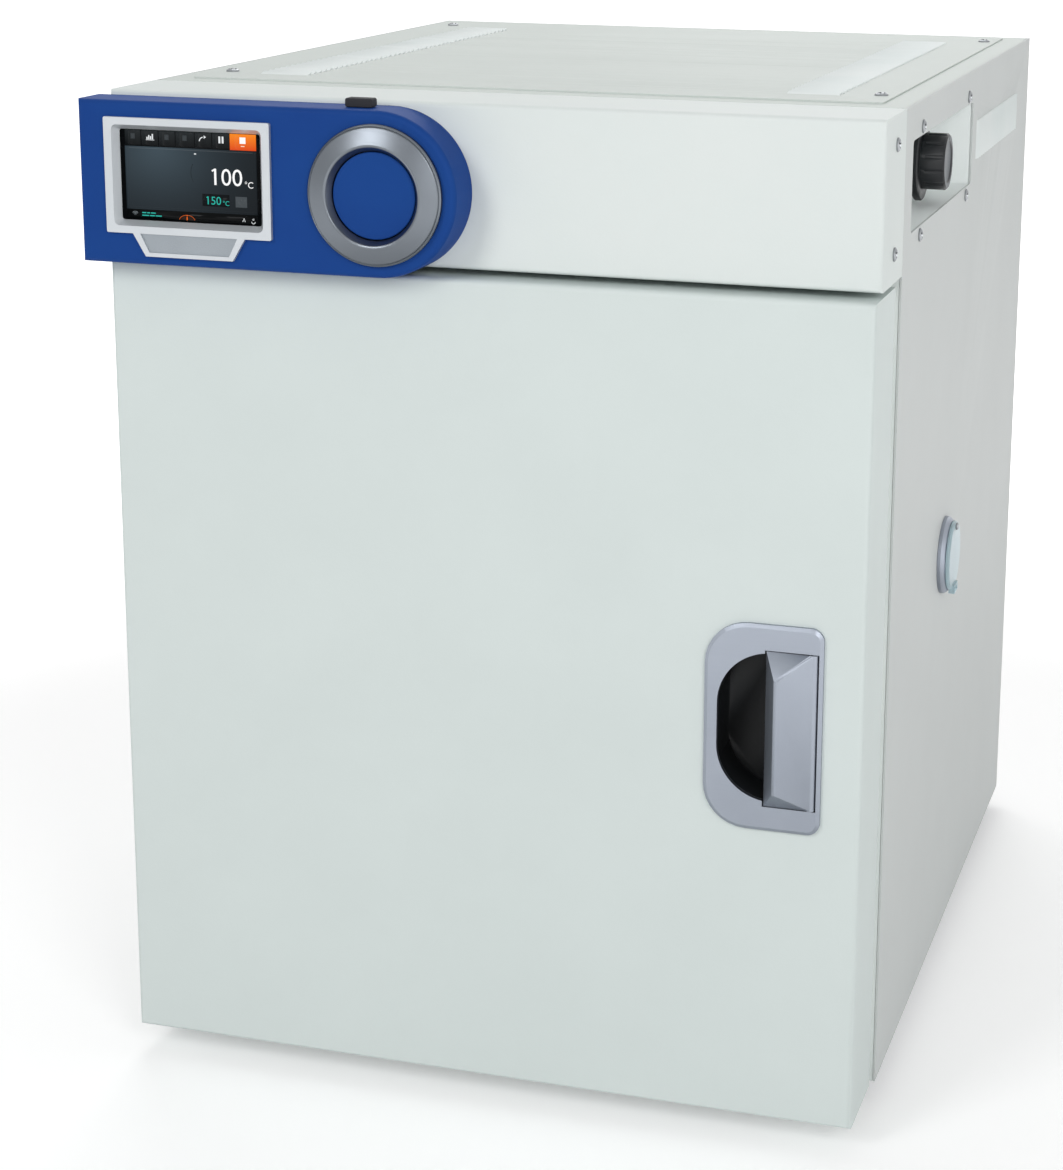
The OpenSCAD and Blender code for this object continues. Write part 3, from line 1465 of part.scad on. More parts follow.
module handle_paddle() {
    h = paddle_h;
    color(silver) difference() {
        union() {
            translate([paddle_x0, paddle_y, plate_z]) difference() {
                intersection() {
                    linear_extrude(2 * h, center = true) paddle_section();
                    paddle_ends(0);
                }
                intersection() {
                    linear_extrude(2 * h, center = true) paddle_hollow();
                    paddle_ends(paddle_wall * 1.3);
                }
            }
            translate([paddle_x1, paddle_y, plate_z - h / 2]) cylinder(r = barrel_r, h = h);
            translate([paddle_x1, paddle_y, plate_z - 5]) cube([barrel_r, tail_d, 10]);
            translate([paddle_x1, paddle_y + tail_d - 3, plate_z - 5]) cube([tail_l, 3, 10]);
        }
        translate([paddle_x1, paddle_y, plate_z - h]) cylinder(r = paddle_pin_r + run_gap, h = 2 * h);
        translate([paddle_x1, paddle_y, spring_z - 1]) {
            cylinder(r = spring_out_r + pass_gap, h = spring_l + 2);
            translate([-spring_out_r - pass_gap, 0, 0]) cube([10, 10, spring_l + 2]);
        }
    }
}

module paddle_pin() {
    l = slot_h + 6;
    color(silver) translate([paddle_x1, paddle_y, plate_z - l / 2]) cylinder(r = paddle_pin_r, h = l);
}

module paddle_spring() {
    turns = 6;
    color(silver) translate([paddle_x1, paddle_y, spring_z])
        linear_extrude(spring_l, twist = -360 * turns, slices = turns * 12, $fn = 6)
            translate([spring_out_r - spring_wire_r, 0]) circle(spring_wire_r);
}

module ejector_pin() {
    head_y = paddle_y + tail_d + 0.4;
    color(nylon) translate([ejector_x, head_y, plate_z]) {
        rod_y(ejector_r + 1.5, 3);
        rod_y(ejector_r, fy - ejector_stand - head_y);
    }
}

side_panel_left();
side_panel_right();
top_frame();
top_cover();
rear_panel();
base_pan();
front_frame();
panel_screws();
rubber_feet();
chamber_liner();
side_insulation();
top_insulation();
bottom_insulation();
rear_insulation();
control_tray();
rear_bulkhead();
shelf_rack_left();
shelf_rack_right();
shelf_lower();
shelf_upper();
air_baffle();
fan_wheel();
fan_motor();
heater_element();
temperature_sensor();
port_tube();
port_flange();
port_cover();
port_cover_screw();
recess_box();
damper_knob();
damper_shaft();
exhaust_duct();
data_port();
fascia_panel();
panel_housing();
screen_bezel();
display_glass();
display_module();
control_board();
dial_ring();
dial_button();
dial_encoder();
usb_socket();
usb_cap();
power_board();
mains_inlet();
hinge_brackets();
hinge_pins();
hinge_bushes();
door_skin();
door_inner_panel();
door_insulation();
door_seal();
handle_plate();
handle_cup();
handle_paddle();
paddle_pin();
paddle_spring();
ejector_pin();
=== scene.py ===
"""The looks of a bench-top laboratory incubator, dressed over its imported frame.

Sizes of pieces are in millimetres and are turned to metres where they enter a mesh. Every piece lies in the
frame's own place. The new pieces are surfaces worked out with numpy, and each finish is a small class that
builds its own material.
"""

import json
import logging
import math
from dataclasses import dataclass
from enum import Enum
from typing import Callable, Optional

import bmesh
import bpy
import numpy as np
from bpy.types import ID, Material, Node, NodeSocket, NodeTree, Object
from mathutils import Matrix, Vector
from numpy import ndarray

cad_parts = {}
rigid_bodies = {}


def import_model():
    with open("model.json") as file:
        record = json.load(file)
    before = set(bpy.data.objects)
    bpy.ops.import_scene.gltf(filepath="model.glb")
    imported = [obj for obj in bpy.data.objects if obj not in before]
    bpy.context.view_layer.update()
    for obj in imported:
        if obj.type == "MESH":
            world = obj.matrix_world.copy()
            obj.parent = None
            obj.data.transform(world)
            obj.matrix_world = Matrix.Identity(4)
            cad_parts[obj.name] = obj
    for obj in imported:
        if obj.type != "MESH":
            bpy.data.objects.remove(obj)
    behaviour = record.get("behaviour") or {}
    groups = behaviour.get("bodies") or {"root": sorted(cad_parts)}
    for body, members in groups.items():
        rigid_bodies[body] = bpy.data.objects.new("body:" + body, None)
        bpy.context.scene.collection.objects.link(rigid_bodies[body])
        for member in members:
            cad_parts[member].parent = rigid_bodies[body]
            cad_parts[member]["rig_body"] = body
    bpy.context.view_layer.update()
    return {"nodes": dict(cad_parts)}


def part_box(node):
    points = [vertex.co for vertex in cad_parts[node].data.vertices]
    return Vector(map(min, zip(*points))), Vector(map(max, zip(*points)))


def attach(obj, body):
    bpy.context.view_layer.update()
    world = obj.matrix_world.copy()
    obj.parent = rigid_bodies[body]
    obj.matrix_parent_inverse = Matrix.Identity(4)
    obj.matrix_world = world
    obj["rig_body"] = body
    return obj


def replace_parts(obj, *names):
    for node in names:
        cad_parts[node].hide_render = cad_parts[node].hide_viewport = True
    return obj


LOG = logging.getLogger("incubator")
MM = 0.001
WHITE = (1.0, 1.0, 1.0, 1.0)
Picker = Callable[[ndarray, ndarray], ndarray]


class Axis(Enum):
    """The direction that a grain runs or a part turns about."""

    X = 0
    Y = 1
    Z = 2


# Colour, nodes and objects


def hex_linear(code: str) -> tuple[float, float, float, float]:
    """Turns an sRGB hex colour to linear light.

    Args:
        code: six hex digits, such as "DDE4E2".

    Returns:
        Linear red, green and blue, and an alpha of 1.
    """
    parts = [int(code[i:i + 2], 16) / 255 for i in (0, 2, 4)]
    low, offset = 0.04045, 0.055
    red, green, blue = (c / 12.92 if c <= low else ((c + offset) / (1 + offset)) ** 2.4 for c in parts)
    return (red, green, blue, 1.0)


def add_node(tree: NodeTree, kind: str, inputs: Optional[dict] = None, **settings: object) -> Node:
    """Adds a node, with its settings and its input values or links.

    Args:
        tree: the node tree that takes the node.
        kind: the node's class name without the ShaderNode prefix.
        inputs: socket name or number to a value, or to an output socket to link from.
        settings: properties of the node itself.

    Returns:
        The new node.
    """
    node = tree.nodes.new("ShaderNode" + kind)
    for key, value in settings.items():
        setattr(node, key, value)
    for key, value in (inputs or {}).items():
        if isinstance(value, NodeSocket):
            tree.links.new(value, node.inputs[key])
        else:
            node.inputs[key].default_value = value
    return node


def add_object(name: str, data: Optional[ID]) -> Object:
    """Adds an object to the scene."""
    made = bpy.data.objects.new(name, data)
    bpy.context.scene.collection.objects.link(made)
    return made


def new_material(name: str) -> Material:
    """Makes an empty node material, which has only its shader and its output."""
    made = bpy.data.materials.new(name)
    made.use_nodes = True
    return made


# Finishes


@dataclass(frozen=True)
class Finish:
    """A surface finish: its colour and how it takes the light.

    Args:
        name: the material's name, from the real finish.
        colour: sRGB hex of the bare surface.
        tint: sRGB hex that the colour drifts towards in soft patches.
        roughness: the shader's roughness at the smoothest places.
        rough_drift: how much roughness the patches add.
        metallic: 1 for bare metal, 0 for everything else.
        grain_mm: size of the finish's texture, in millimetres.
        grain_height: how strongly the texture tilts the surface.
        patch_mm: size of the soft patches of colour, in millimetres.
    """

    name: str
    colour: str
    tint: str
    roughness: float = 0.4
    rough_drift: float = 0.06
    metallic: float = 0.0
    grain_mm: float = 1.5
    grain_height: float = 0.05
    patch_mm: float = 90.0

    def stretch(self) -> tuple[float, float, float]:
        """How the grain is stretched along each axis: not at all."""
        return (1.0, 1.0, 1.0)

    def tune(self, shader: Node) -> None:
        """Sets what only this kind of finish has on the shader: nothing here."""

    def build(self) -> Material:
        """Gives the finish's material.

        Returns:
            The material, made once and found by its name after that.
        """
        known = bpy.data.materials.get(self.name)
        if known is not None:
            return known
        made = new_material(self.name)
        self.dress(made.node_tree, made.node_tree.nodes["Principled BSDF"])
        return made

    def dress(self, tree: NodeTree, shader: Node) -> None:
        """Tints the colour in soft patches, and lets a fine grain drive roughness and bump.

        Args:
            tree: the material's node tree.
            shader: its principled shader.
        """
        metre = 1 / MM
        noise_low, noise_high = 0.35, 0.65
        place = add_node(tree, "TexCoord").outputs["Object"]
        patches = add_node(
            tree, "TexNoise",
            {"Vector": place, "Scale": metre / self.patch_mm, "Detail": 3.0},
        )
        soft = add_node(
            tree, "MapRange",
            {"Value": patches.outputs["Fac"], "From Min": noise_low, "From Max": noise_high},
        )
        mix = add_node(tree, "Mix", {"Factor": soft.outputs["Result"]}, data_type="RGBA")
        mix.inputs[6].default_value = hex_linear(self.colour)
        mix.inputs[7].default_value = hex_linear(self.tint)
        tree.links.new(mix.outputs[2], shader.inputs["Base Color"])
        grid = add_node(tree, "Mapping", {"Vector": place, "Scale": self.stretch()})
        grain = add_node(
            tree, "TexNoise",
            {"Vector": grid.outputs["Vector"], "Scale": metre / self.grain_mm, "Detail": 2.0},
        )
        rough = add_node(
            tree, "MapRange",
            {"Value": grain.outputs["Fac"], "To Min": self.roughness,
             "To Max": self.roughness + self.rough_drift},
        )
        tree.links.new(rough.outputs["Result"], shader.inputs["Roughness"])
        bump = add_node(
            tree, "Bump",
            {"Height": grain.outputs["Fac"], "Strength": self.grain_height, "Distance": self.grain_mm * MM},
        )
        tree.links.new(bump.outputs["Normal"], shader.inputs["Normal"])
        shader.inputs["Metallic"].default_value = self.metallic
        self.tune(shader)


@dataclass(frozen=True)
class PowderCoat(Finish):
    """Baked powder coat on sheet steel: satin, with a faint orange peel."""

    grain_mm: float = 1.8
    grain_height: float = 0.035
    roughness: float = 0.5
    sheen: float = 0.2

    def tune(self, shader: Node) -> None:
        """Keeps the sheen low: the fine peel scatters what would mirror at a shallow angle."""
        shader.inputs["Specular IOR Level"].default_value = self.sheen


@dataclass(frozen=True)
class Brushed(Finish):
    """Brushed or ground metal, whose scratches run along one axis."""

    metallic: float = 1.0
    roughness: float = 0.26
    rough_drift: float = 0.16
    grain_mm: float = 0.6
    grain_height: float = 0.12
    along: Axis = Axis.X
    draw_out: float = 0.016

    def stretch(self) -> tuple[float, float, float]:
        """The grain is drawn out some sixty times along the brushing."""
        return tuple(self.draw_out if i == self.along.value else 1.0 for i in range(3))


@dataclass(frozen=True)
class Moulded(Finish):
    """Injection-moulded plastic with a fine spark-eroded texture."""

    grain_mm: float = 0.5
    grain_height: float = 0.08
    roughness: float = 0.34
    gloss: float = 0.5

    def tune(self, shader: Node) -> None:
        """Sets how much the plastic's skin mirrors: an eroded mould leaves less gloss."""
        shader.inputs["Specular IOR Level"].default_value = self.gloss


@dataclass(frozen=True)
class Rubber(Finish):
    """Moulded rubber: dull, and a little paler where dust sits."""

    roughness: float = 0.62
    rough_drift: float = 0.15
    grain_mm: float = 0.8
    grain_height: float = 0.1


@dataclass(frozen=True)
class Frosted(Finish):
    """Translucent polypropylene: milky, so that what lies behind shows as a soft tone."""

    roughness: float = 0.3
    transmission: float = 0.55
    index: float = 1.49

    def tune(self, shader: Node) -> None:
        """Lets part of the light through."""
        shader.inputs["Transmission Weight"].default_value = self.transmission
        shader.inputs["IOR"].default_value = self.index


@dataclass(frozen=True)
class MineralWool(Finish):
    """Pressed mineral wool: matt fibres in soft clumps."""

    roughness: float = 0.9
    rough_drift: float = 0.08
    grain_mm: float = 3.0
    grain_height: float = 0.9
    patch_mm: float = 25.0


@dataclass(frozen=True)
class Glass(Finish):
    """Cover glass over a dark display: black depth under a sharp gloss."""

    roughness: float = 0.1
    rough_drift: float = 0.02
    grain_height: float = 0.0
    index: float = 1.52
    mirror: float = 0.06

    def tune(self, shader: Node) -> None:
        """Sets the refractive index of soda glass, and a coating that keeps most reflections off it."""
        shader.inputs["IOR"].default_value = self.index
        shader.inputs["Specular IOR Level"].default_value = self.mirror


@dataclass(frozen=True)
class Lit(Finish):
    """A lit patch of the display, whose surface is dark and coated."""

    glow: float = 1.0
    mirror: float = 0.06

    def dress(self, tree: NodeTree, shader: Node) -> None:
        """Lets the piece's own "lit" colours glow.

        Args:
            tree: the material's node tree.
            shader: its principled shader.
        """
        lit = add_node(tree, "Attribute", attribute_name="lit")
        tree.links.new(lit.outputs["Color"], shader.inputs["Emission Color"])
        shader.inputs["Emission Strength"].default_value = self.glow
        shader.inputs["Base Color"].default_value = hex_linear(self.colour)
        shader.inputs["Roughness"].default_value = self.roughness
        shader.inputs["Specular IOR Level"].default_value = self.mirror


# A soft satin white. The sides, rear and roof take darker copies of it: painted shade, for faces turned
# from the lamps
FRONT_COAT = PowderCoat("powder_coat_front", "E3E9E7", "E1E8E6")
DOOR_COAT = PowderCoat("powder_coat_door", "DAE3E1", "D8E1DF")
SIDE_PAINTED_SHADE_COAT = PowderCoat("powder_coat_side_painted_shade", "CED2D1", "D0D4D3")
ROOF_PAINTED_SHADE_COAT = PowderCoat("powder_coat_roof_painted_shade", "D2D9D5", "D0D7D3")
# Paler copies of the white: painted light on the louvres' slanted slats, and painted light in the shaded
# recess
LOUVRE_PAINTED_LIGHT_COAT = PowderCoat("powder_coat_louvres_painted_light", "EEF4F3", "E8F0EF")
RECESS_PAINTED_LIGHT_COAT = PowderCoat("powder_coat_recess_painted_light", "F8FCFB", "F4F9F8")
# A deep blue with hardly a mirror in it
BLUE_ABS = Moulded("blue_abs", "1A458C", "184087", roughness=0.5, gloss=0.08)
# Nearly black plastics, whose edges show as thin pale lines
BLACK_ABS = Moulded("black_abs", "101112", "202326", roughness=0.42, rough_drift=0.12, gloss=0.25)
GREY_ABS = Moulded("dark_grey_abs", "14171A", "1A1D20", roughness=0.36, gloss=0.3)
# A grey speckle on the knob's end, and a near-black cross in each screw's head: painted shade in the recess
KNOB_FACE = Moulded("knob_face_abs", "62676C", "474C50", roughness=0.5, grain_mm=1.2, grain_height=0.3)
SCREW_CROSS_PAINTED_SHADE = Moulded("screw_recess_painted_shade", "0C0D0E", "121314", roughness=0.8, gloss=0.02)
# Dull rubbers that hide their own form: dark feet and cap, white seal
BLACK_RUBBER = Rubber("black_rubber", "15161A", "1E2024")
SEAL_RUBBER = Rubber("white_seal_rubber", "ECEFEC", "E2E6E3", roughness=0.5)
# Long streaks that run level round the chamber and upright on the racks
STAINLESS = Brushed("brushed_stainless", "C4C6C8", "BFC2C4")
STAINLESS_UP = Brushed("brushed_stainless_upright", "C4C6C8", "BFC2C4", along=Axis.Z)
# The zinc's patches of light and darker grey, and small bright parts beside it
GALVANISED = Brushed("galvanised_sheet", "A9AEB2", "959BA0", roughness=0.4, grain_mm=4.0, patch_mm=14.0)
PLATED = Brushed("nickel_plated_steel", "9A9DA0", "8E9194", roughness=0.24, grain_mm=0.4)
# A cool satin metal without clear reflections
ANODISED = Brushed("satin_anodised_aluminium", "989EA8", "9298A2", roughness=0.36, grain_mm=0.5,
                   grain_height=0.05)
# Silver that looks painted, and a darker pocket with visible strokes
SILVER_LACQUER = Moulded("silver_lacquered_abs", "C6CACE", "BFC4C8", roughness=0.34, metallic=0.45)
POCKET_LACQUER = Moulded("silver_lacquer_brushed_pocket", "959CA2", "8C9399", roughness=0.4, metallic=0.5,
                         grain_mm=0.9, grain_height=0.25)
# A dark ring on which the lamps draw bright wedges
DIAL_METAL = Brushed("turned_dial_aluminium", "6C7177", "666B71", roughness=0.24, grain_mm=0.4,
                     grain_height=0.03)
# Milky blue over the bore behind it, and warm white bought parts
FROSTED_COVER = Frosted("frosted_polypropylene", "CFE4EA", "C6DCE4")
NYLON = Moulded("white_nylon", "E9E9E4", "E2E2DC", roughness=0.45)
# Straw-coloured fluff
WOOL = MineralWool("mineral_wool", "D8CDA0", "C9BB85")
# The green of solder mask
BOARD = Moulded("circuit_board_green", "1E6B3E", "185C34", roughness=0.35)
# A black pane, and the picture that shines through it
SCREEN = Glass("display_glass", "08090A", "0C0E10")
GRAPHICS = Lit("display_graphics", "050607", "050607", roughness=0.12)
# Even coats: bright on the shelves' wires, dark on the motor
SHELF_COAT = PowderCoat("shelf_epoxy_coat", "F0F0EC", "E9E9E5", roughness=0.32)
MOTOR_ENAMEL = PowderCoat("motor_enamel", "4A4E52", "43474B")
# A tube that heat has turned a brownish grey
HEATER_SHEATH = Brushed("heat_tinted_sheath", "9A8F86", "7F7A78", roughness=0.38, grain_mm=2.0)


NODE_FINISH: dict[Finish, tuple[str, ...]] = {
    FRONT_COAT: ("front_frame", "fascia_panel"),
    DOOR_COAT: ("door_skin",),
    # Darker copies of the white on the sides, the rear and the roof: painted shade
    SIDE_PAINTED_SHADE_COAT: ("side_panel_left", "side_panel_right", "rear_panel"),
    ROOF_PAINTED_SHADE_COAT: ("top_frame", "top_cover"),
    # The recess box takes a whiter copy of the coat: painted light in its shade
    RECESS_PAINTED_LIGHT_COAT: ("recess_box",),
    BLUE_ABS: ("panel_housing", "dial_button"),
    BLACK_ABS: ("handle_cup", "data_port", "mains_inlet", "dial_encoder"),
    GREY_ABS: ("damper_knob",),
    BLACK_RUBBER: ("rubber_feet", "usb_cap"),
    SEAL_RUBBER: ("door_seal",),
    STAINLESS: ("chamber_liner", "air_baffle", "door_inner_panel", "temperature_sensor"),
    STAINLESS_UP: ("shelf_rack_left", "shelf_rack_right"),
    GALVANISED: ("base_pan", "control_tray", "rear_bulkhead", "fan_wheel", "display_module", "usb_socket",
                 "hinge_brackets"),
    PLATED: ("panel_screws", "port_cover_screw", "damper_shaft", "hinge_pins", "paddle_pin",
             "paddle_spring"),
    ANODISED: ("handle_plate", "handle_paddle", "port_flange"),
    SILVER_LACQUER: ("screen_bezel",),
    DIAL_METAL: ("dial_ring",),
    FROSTED_COVER: ("port_cover",),
    NYLON: ("port_tube", "exhaust_duct", "hinge_bushes", "ejector_pin"),
    WOOL: ("side_insulation", "top_insulation", "bottom_insulation", "rear_insulation", "door_insulation"),
    BOARD: ("control_board", "power_board"),
    SCREEN: ("display_glass",),
    SHELF_COAT: ("shelf_lower", "shelf_upper"),
    MOTOR_ENAMEL: ("fan_motor",),
    HEATER_SHEATH: ("heater_element",),
}


# Stage, light and camera


@dataclass(frozen=True)
class Lamp:
    """A square soft lamp.

    Args:
        name: the lamp's name.
        place: where it hangs, in metres.
        target: what it points at.
        size: its side in metres.
        power: its power in watts.
    """

    name: str
    place: tuple[float, float, float]
    target: tuple[float, float, float]
    size: float
    power: float

    def build(self) -> None:
        """Hangs the lamp."""
        data = bpy.data.lights.new(self.name, "AREA")
        data.size = self.size
        data.energy = self.power
        aim = Vector(self.target) - Vector(self.place)
        turn = aim.to_track_quat("-Z", "Y").to_matrix().to_4x4()
        add_object(self.name, data).matrix_world = Matrix.Translation(self.place) @ turn


LAMPS = (
    Lamp("key", (-1.34, -3.09, 2.23), (-0.06, -0.35, 0.66), 1.15, 31),
    Lamp("front_right", (1.5, -3.3, 1.2), (0.1, -0.3, 0.4), 1.8, 12),
    Lamp("right_high", (1.9, -2.6, 2.0), (0.27, 0.0, 0.6), 1.2, 22),
    Lamp("fill", (3.0, -0.4, 0.4), (0.2, 0.0, 0.2), 2.2, 13),
    Lamp("back", (-0.6, 1.7, 2.8), (0.0, 0.1, 0.5), 2.0, 24),
    Lamp("rear", (0.2, 3.0, 1.9), (0.0, 0.2, 0.4), 2.4, 14),
)


@dataclass
class Studio:
    """A pale floor, soft lamps and the photograph's camera.

    Args:
        camera_at: the camera's place.
        azimuth: degrees that the camera stands round to the right of the front.
        elevation: degrees that it looks down.
        roll: degrees that it leans.
        focal_px: focal length in pixels of the photograph.
        principal: the lens axis in pixels of the photograph.
        frame_px: the photograph's width and height.
        sees_to: how far the camera sees, in metres.
        sky_level: how bright the white surround is for the light that it sheds.
        floor_reach: how far the floor runs out to each side, in metres.
        floor_glow: how much white the floor adds where the shadow lies.
        glow_from: how far from the middle the floor begins to fade to white, in metres.
        glow_to: how far from the middle it is all white.
    """

    camera_at: tuple[float, float, float] = (0.5634, -1.913, 0.9008)
    azimuth: float = 16.3087
    elevation: float = 13.4095
    roll: float = 0.4551
    focal_px: float = 2540.8365
    principal: tuple[float, float] = (620.0, 430.0)
    frame_px: tuple[int, int] = (1063, 1170)
    sees_to: float = 50.0
    sky_level: float = 0.36
    floor_reach: float = 14.0
    floor_glow: float = 0.27
    glow_from: float = 0.75
    glow_to: float = 1.7

    def build(self) -> None:
        """Makes the camera, the floor, the world and the lamps."""
        self.camera()
        self.floor()
        self.world()
        for lamp in LAMPS:
            lamp.build()
        bpy.context.scene.view_settings.view_transform = "Standard"

    def camera(self) -> None:
        """Stands the camera where the photograph was taken from."""
        az, el, roll = (math.radians(a) for a in (self.azimuth, self.elevation, self.roll))
        back = Vector((math.sin(az) * math.cos(el), -math.cos(az) * math.cos(el), math.sin(el)))
        right = (-back).cross(Vector((0, 0, 1))).normalized()
        up = right.cross(-back)
        lean_right = math.cos(roll) * right + math.sin(roll) * up
        lean_up = math.cos(roll) * up - math.sin(roll) * right
        turn = Matrix((lean_right, lean_up, back)).transposed().to_4x4()
        long_side = max(self.frame_px)
        data = bpy.data.cameras.new("camera")
        data.sensor_width = 36.0
        data.lens = self.focal_px / long_side * data.sensor_width
        data.shift_x = (self.frame_px[0] / 2 - self.principal[0]) / long_side
        data.shift_y = (self.principal[1] - self.frame_px[1] / 2) / long_side
        data.clip_end = self.sees_to
        camera = add_object("camera", data)
        camera.matrix_world = Matrix.Translation(self.camera_at) @ turn
        bpy.context.scene.camera = camera

    def floor(self) -> None:
        """Lays a pale floor that keeps the object's soft shadow."""
        reach = self.floor_reach
        mesh = bpy.data.meshes.new("floor")
        corners = [(-reach, -reach, 0), (reach, -reach, 0), (reach, reach, 0), (-reach, reach, 0)]
        mesh.from_pydata(corners, [], [(0, 1, 2, 3)])
        floor = add_object("floor", mesh)
        made = new_material("studio_floor")
        tree = made.node_tree
        shader = tree.nodes["Principled BSDF"]
        shader.inputs["Base Color"].default_value = hex_linear("F8F8F8")
        shader.inputs["Roughness"].default_value = 0.9
        shader.inputs["Specular IOR Level"].default_value = 0.1
        shader.inputs["Emission Color"].default_value = WHITE
        place = add_node(tree, "TexCoord").outputs["Object"]
        away = add_node(tree, "VectorMath", {0: place}, operation="LENGTH").outputs["Value"]
        paper = add_node(
            tree, "MapRange",
            {"Value": away, "From Min": self.glow_from, "From Max": self.glow_to,
             "To Min": self.floor_glow, "To Max": 1.0},
            interpolation_type="SMOOTHSTEP",
        ).outputs["Result"]
        seen = self.seen_rays(tree)
        glow = add_node(tree, "Math", {0: paper, 1: seen}, operation="MULTIPLY").outputs[0]
        tree.links.new(glow, shader.inputs["Emission Strength"])
        mesh.materials.append(made)

    def seen_rays(self, tree: NodeTree) -> NodeSocket:
        """Tells the rays that show a surface from those that only light others.

        Args:
            tree: the node tree that takes the nodes.

        Returns:
            A socket that is 1 for camera, glossy and transmission rays, and 0 for the rest.
        """
        path = add_node(tree, "LightPath")
        seen = add_node(tree, "Math", {0: path.outputs["Is Camera Ray"], 1: path.outputs["Is Glossy Ray"]},
                        operation="MAXIMUM")
        through = add_node(tree, "Math", {0: seen.outputs[0], 1: path.outputs["Is Transmission Ray"]},
                           operation="MAXIMUM")
        return through.outputs[0]

    def world(self) -> None:
        """Sets a white surround for the camera and for reflections, and a dimmer one that lights."""
        world = bpy.data.worlds.new("studio")
        bpy.context.scene.world = world
        world.use_nodes = True
        tree = world.node_tree
        seen = self.seen_rays(tree)
        level = add_node(tree, "MapRange", {"Value": seen, "To Min": self.sky_level, "To Max": 1.0})
        shade = tree.nodes["Background"]
        shade.inputs["Color"].default_value = WHITE
        tree.links.new(level.outputs["Result"], shade.inputs["Strength"])


# Meshes


def read_rows(items: bpy.types.bpy_prop_collection, key: str) -> ndarray:
    """Reads a place or a direction of every point or face, one row each."""
    flat = np.empty(len(items) * 3)
    items.foreach_get(key, flat)
    return flat.reshape(-1, 3)


# The distance in metres under which two points are one, and the angles of a flat place and of a real edge
SAME_PLACE = 1e-6
FLAT = math.radians(0.5)
CORNER = math.radians(50)


def grid_faces(rows: int, columns: int, round_rows: bool = False, round_columns: bool = False) -> ndarray:
    """Numbers the quads of a grid of points.

    Args:
        rows: how many rows of points there are.
        columns: how many points a row has.
        round_rows: joins the last row to the first.
        round_columns: joins the last column to the first.

    Returns:
        One row of four point numbers for each quad.
    """
    i = np.arange(rows if round_rows else rows - 1)[:, None]
    j = np.arange(columns if round_columns else columns - 1)[None, :]
    below, beside = (i + 1) % rows, (j + 1) % columns
    quads = (i * columns + j, i * columns + beside, below * columns + beside, below * columns + j)
    return np.stack(quads, axis=-1).reshape(-1, 4)


def new_piece(name: str, points: ndarray, faces: list, finishes: tuple[Finish, ...], body: str,
              smooth_deg: float = 35.0, closed: bool = True,
              shades: Optional[ndarray] = None) -> Object:
    """Makes a piece from points and faces, dresses it and lets it ride on a body.

    Args:
        name: the piece's name.
        points: an array of places in metres, one row each.
        faces: lists of point numbers.
        finishes: the finishes of the piece.
        body: the CAD body that carries it.
        smooth_deg: edges sharper than this stay crisp.
        closed: merges the seams and poles, and turns the faces outwards.
        shades: which finish each face takes, where there is more than one.

    Returns:
        The new object.
    """
    mesh = bpy.data.meshes.new(name)
    mesh.from_pydata(points.reshape(-1, 3).tolist(), [], [list(map(int, face)) for face in faces])
    for finish in finishes:
        mesh.materials.append(finish.build())
    if shades is not None:
        mesh.polygons.foreach_set("material_index", shades.astype(np.int32))
    if closed:
        shape = bmesh.new()
        shape.from_mesh(mesh)
        bmesh.ops.remove_doubles(shape, verts=shape.verts, dist=SAME_PLACE)
        bmesh.ops.recalc_face_normals(shape, faces=shape.faces)
        shape.to_mesh(mesh)
        shape.free()
    mesh.polygons.foreach_set("use_smooth", [True] * len(mesh.polygons))
    mesh.set_sharp_from_angle(angle=math.radians(smooth_deg))
    piece = add_object(name, mesh)
    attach(piece, body)
    LOG.info("made %s with %d faces", name, len(mesh.polygons))
    return piece


def lathe(profile: ndarray, centre: ndarray, facing: ndarray, turns: int = 96) -> ndarray:
    """Turns a profile about an axis.

    A profile point at radius r and height h goes to centre + h * facing + r * (cos t * side + sin t * up),
    where t runs round the circle and side and up stand square to facing.

    Args:
        profile: rows of radius and height, in millimetres.
        centre: a point of the axis, in millimetres.
        facing: the axis as a unit vector.
        turns: how many steps go round.

    Returns:
        Places in metres, as profile rows by turns by 3.
    """
    up = np.array([0.0, 0.0, 1.0]) if abs(facing[2]) < 0.9 else np.array([0.0, 1.0, 0.0])
    side = np.cross(up, facing)
    t = np.linspace(0, 2 * np.pi, turns, endpoint=False)
    ring = np.cos(t)[:, None] * side + np.sin(t)[:, None] * up
    return (centre + profile[:, 1, None, None] * facing + profile[:, 0, None, None] * ring) * MM


def rounded(profile: ndarray, radius: float, steps: int = 4) -> ndarray:
    """Rounds the inner corners of a profile.

    Each corner gives way to a curve p = (1-s)^2 * a + 2 s (1-s) * corner + s^2 * b, between a point a on
    the way in and a point b on the way out. Both lie a radius from the corner, or a third of the side if
    that is less.

    Args:
        profile: rows of two numbers, from one end to the other.
        radius: the reach of the curve, in millimetres.
        steps: how many steps each curve has.

    Returns:
        The new profile, with the same two ends.
    """
    before, corner, after = profile[:-2], profile[1:-1], profile[2:]
    way_in, way_out = before - corner, after - corner
    long_in = np.linalg.norm(way_in, axis=1, keepdims=True)
    long_out = np.linalg.norm(way_out, axis=1, keepdims=True)
    a = corner + way_in / long_in * np.minimum(radius, long_in / 3)
    b = corner + way_out / long_out * np.minimum(radius, long_out / 3)
    s = np.linspace(0, 1, steps + 1)[None, :, None]
    curve = (1 - s) ** 2 * a[:, None] + 2 * s * (1 - s) * corner[:, None] + s ** 2 * b[:, None]
    return np.concatenate((profile[:1], curve.reshape(-1, 2), profile[-1:]))


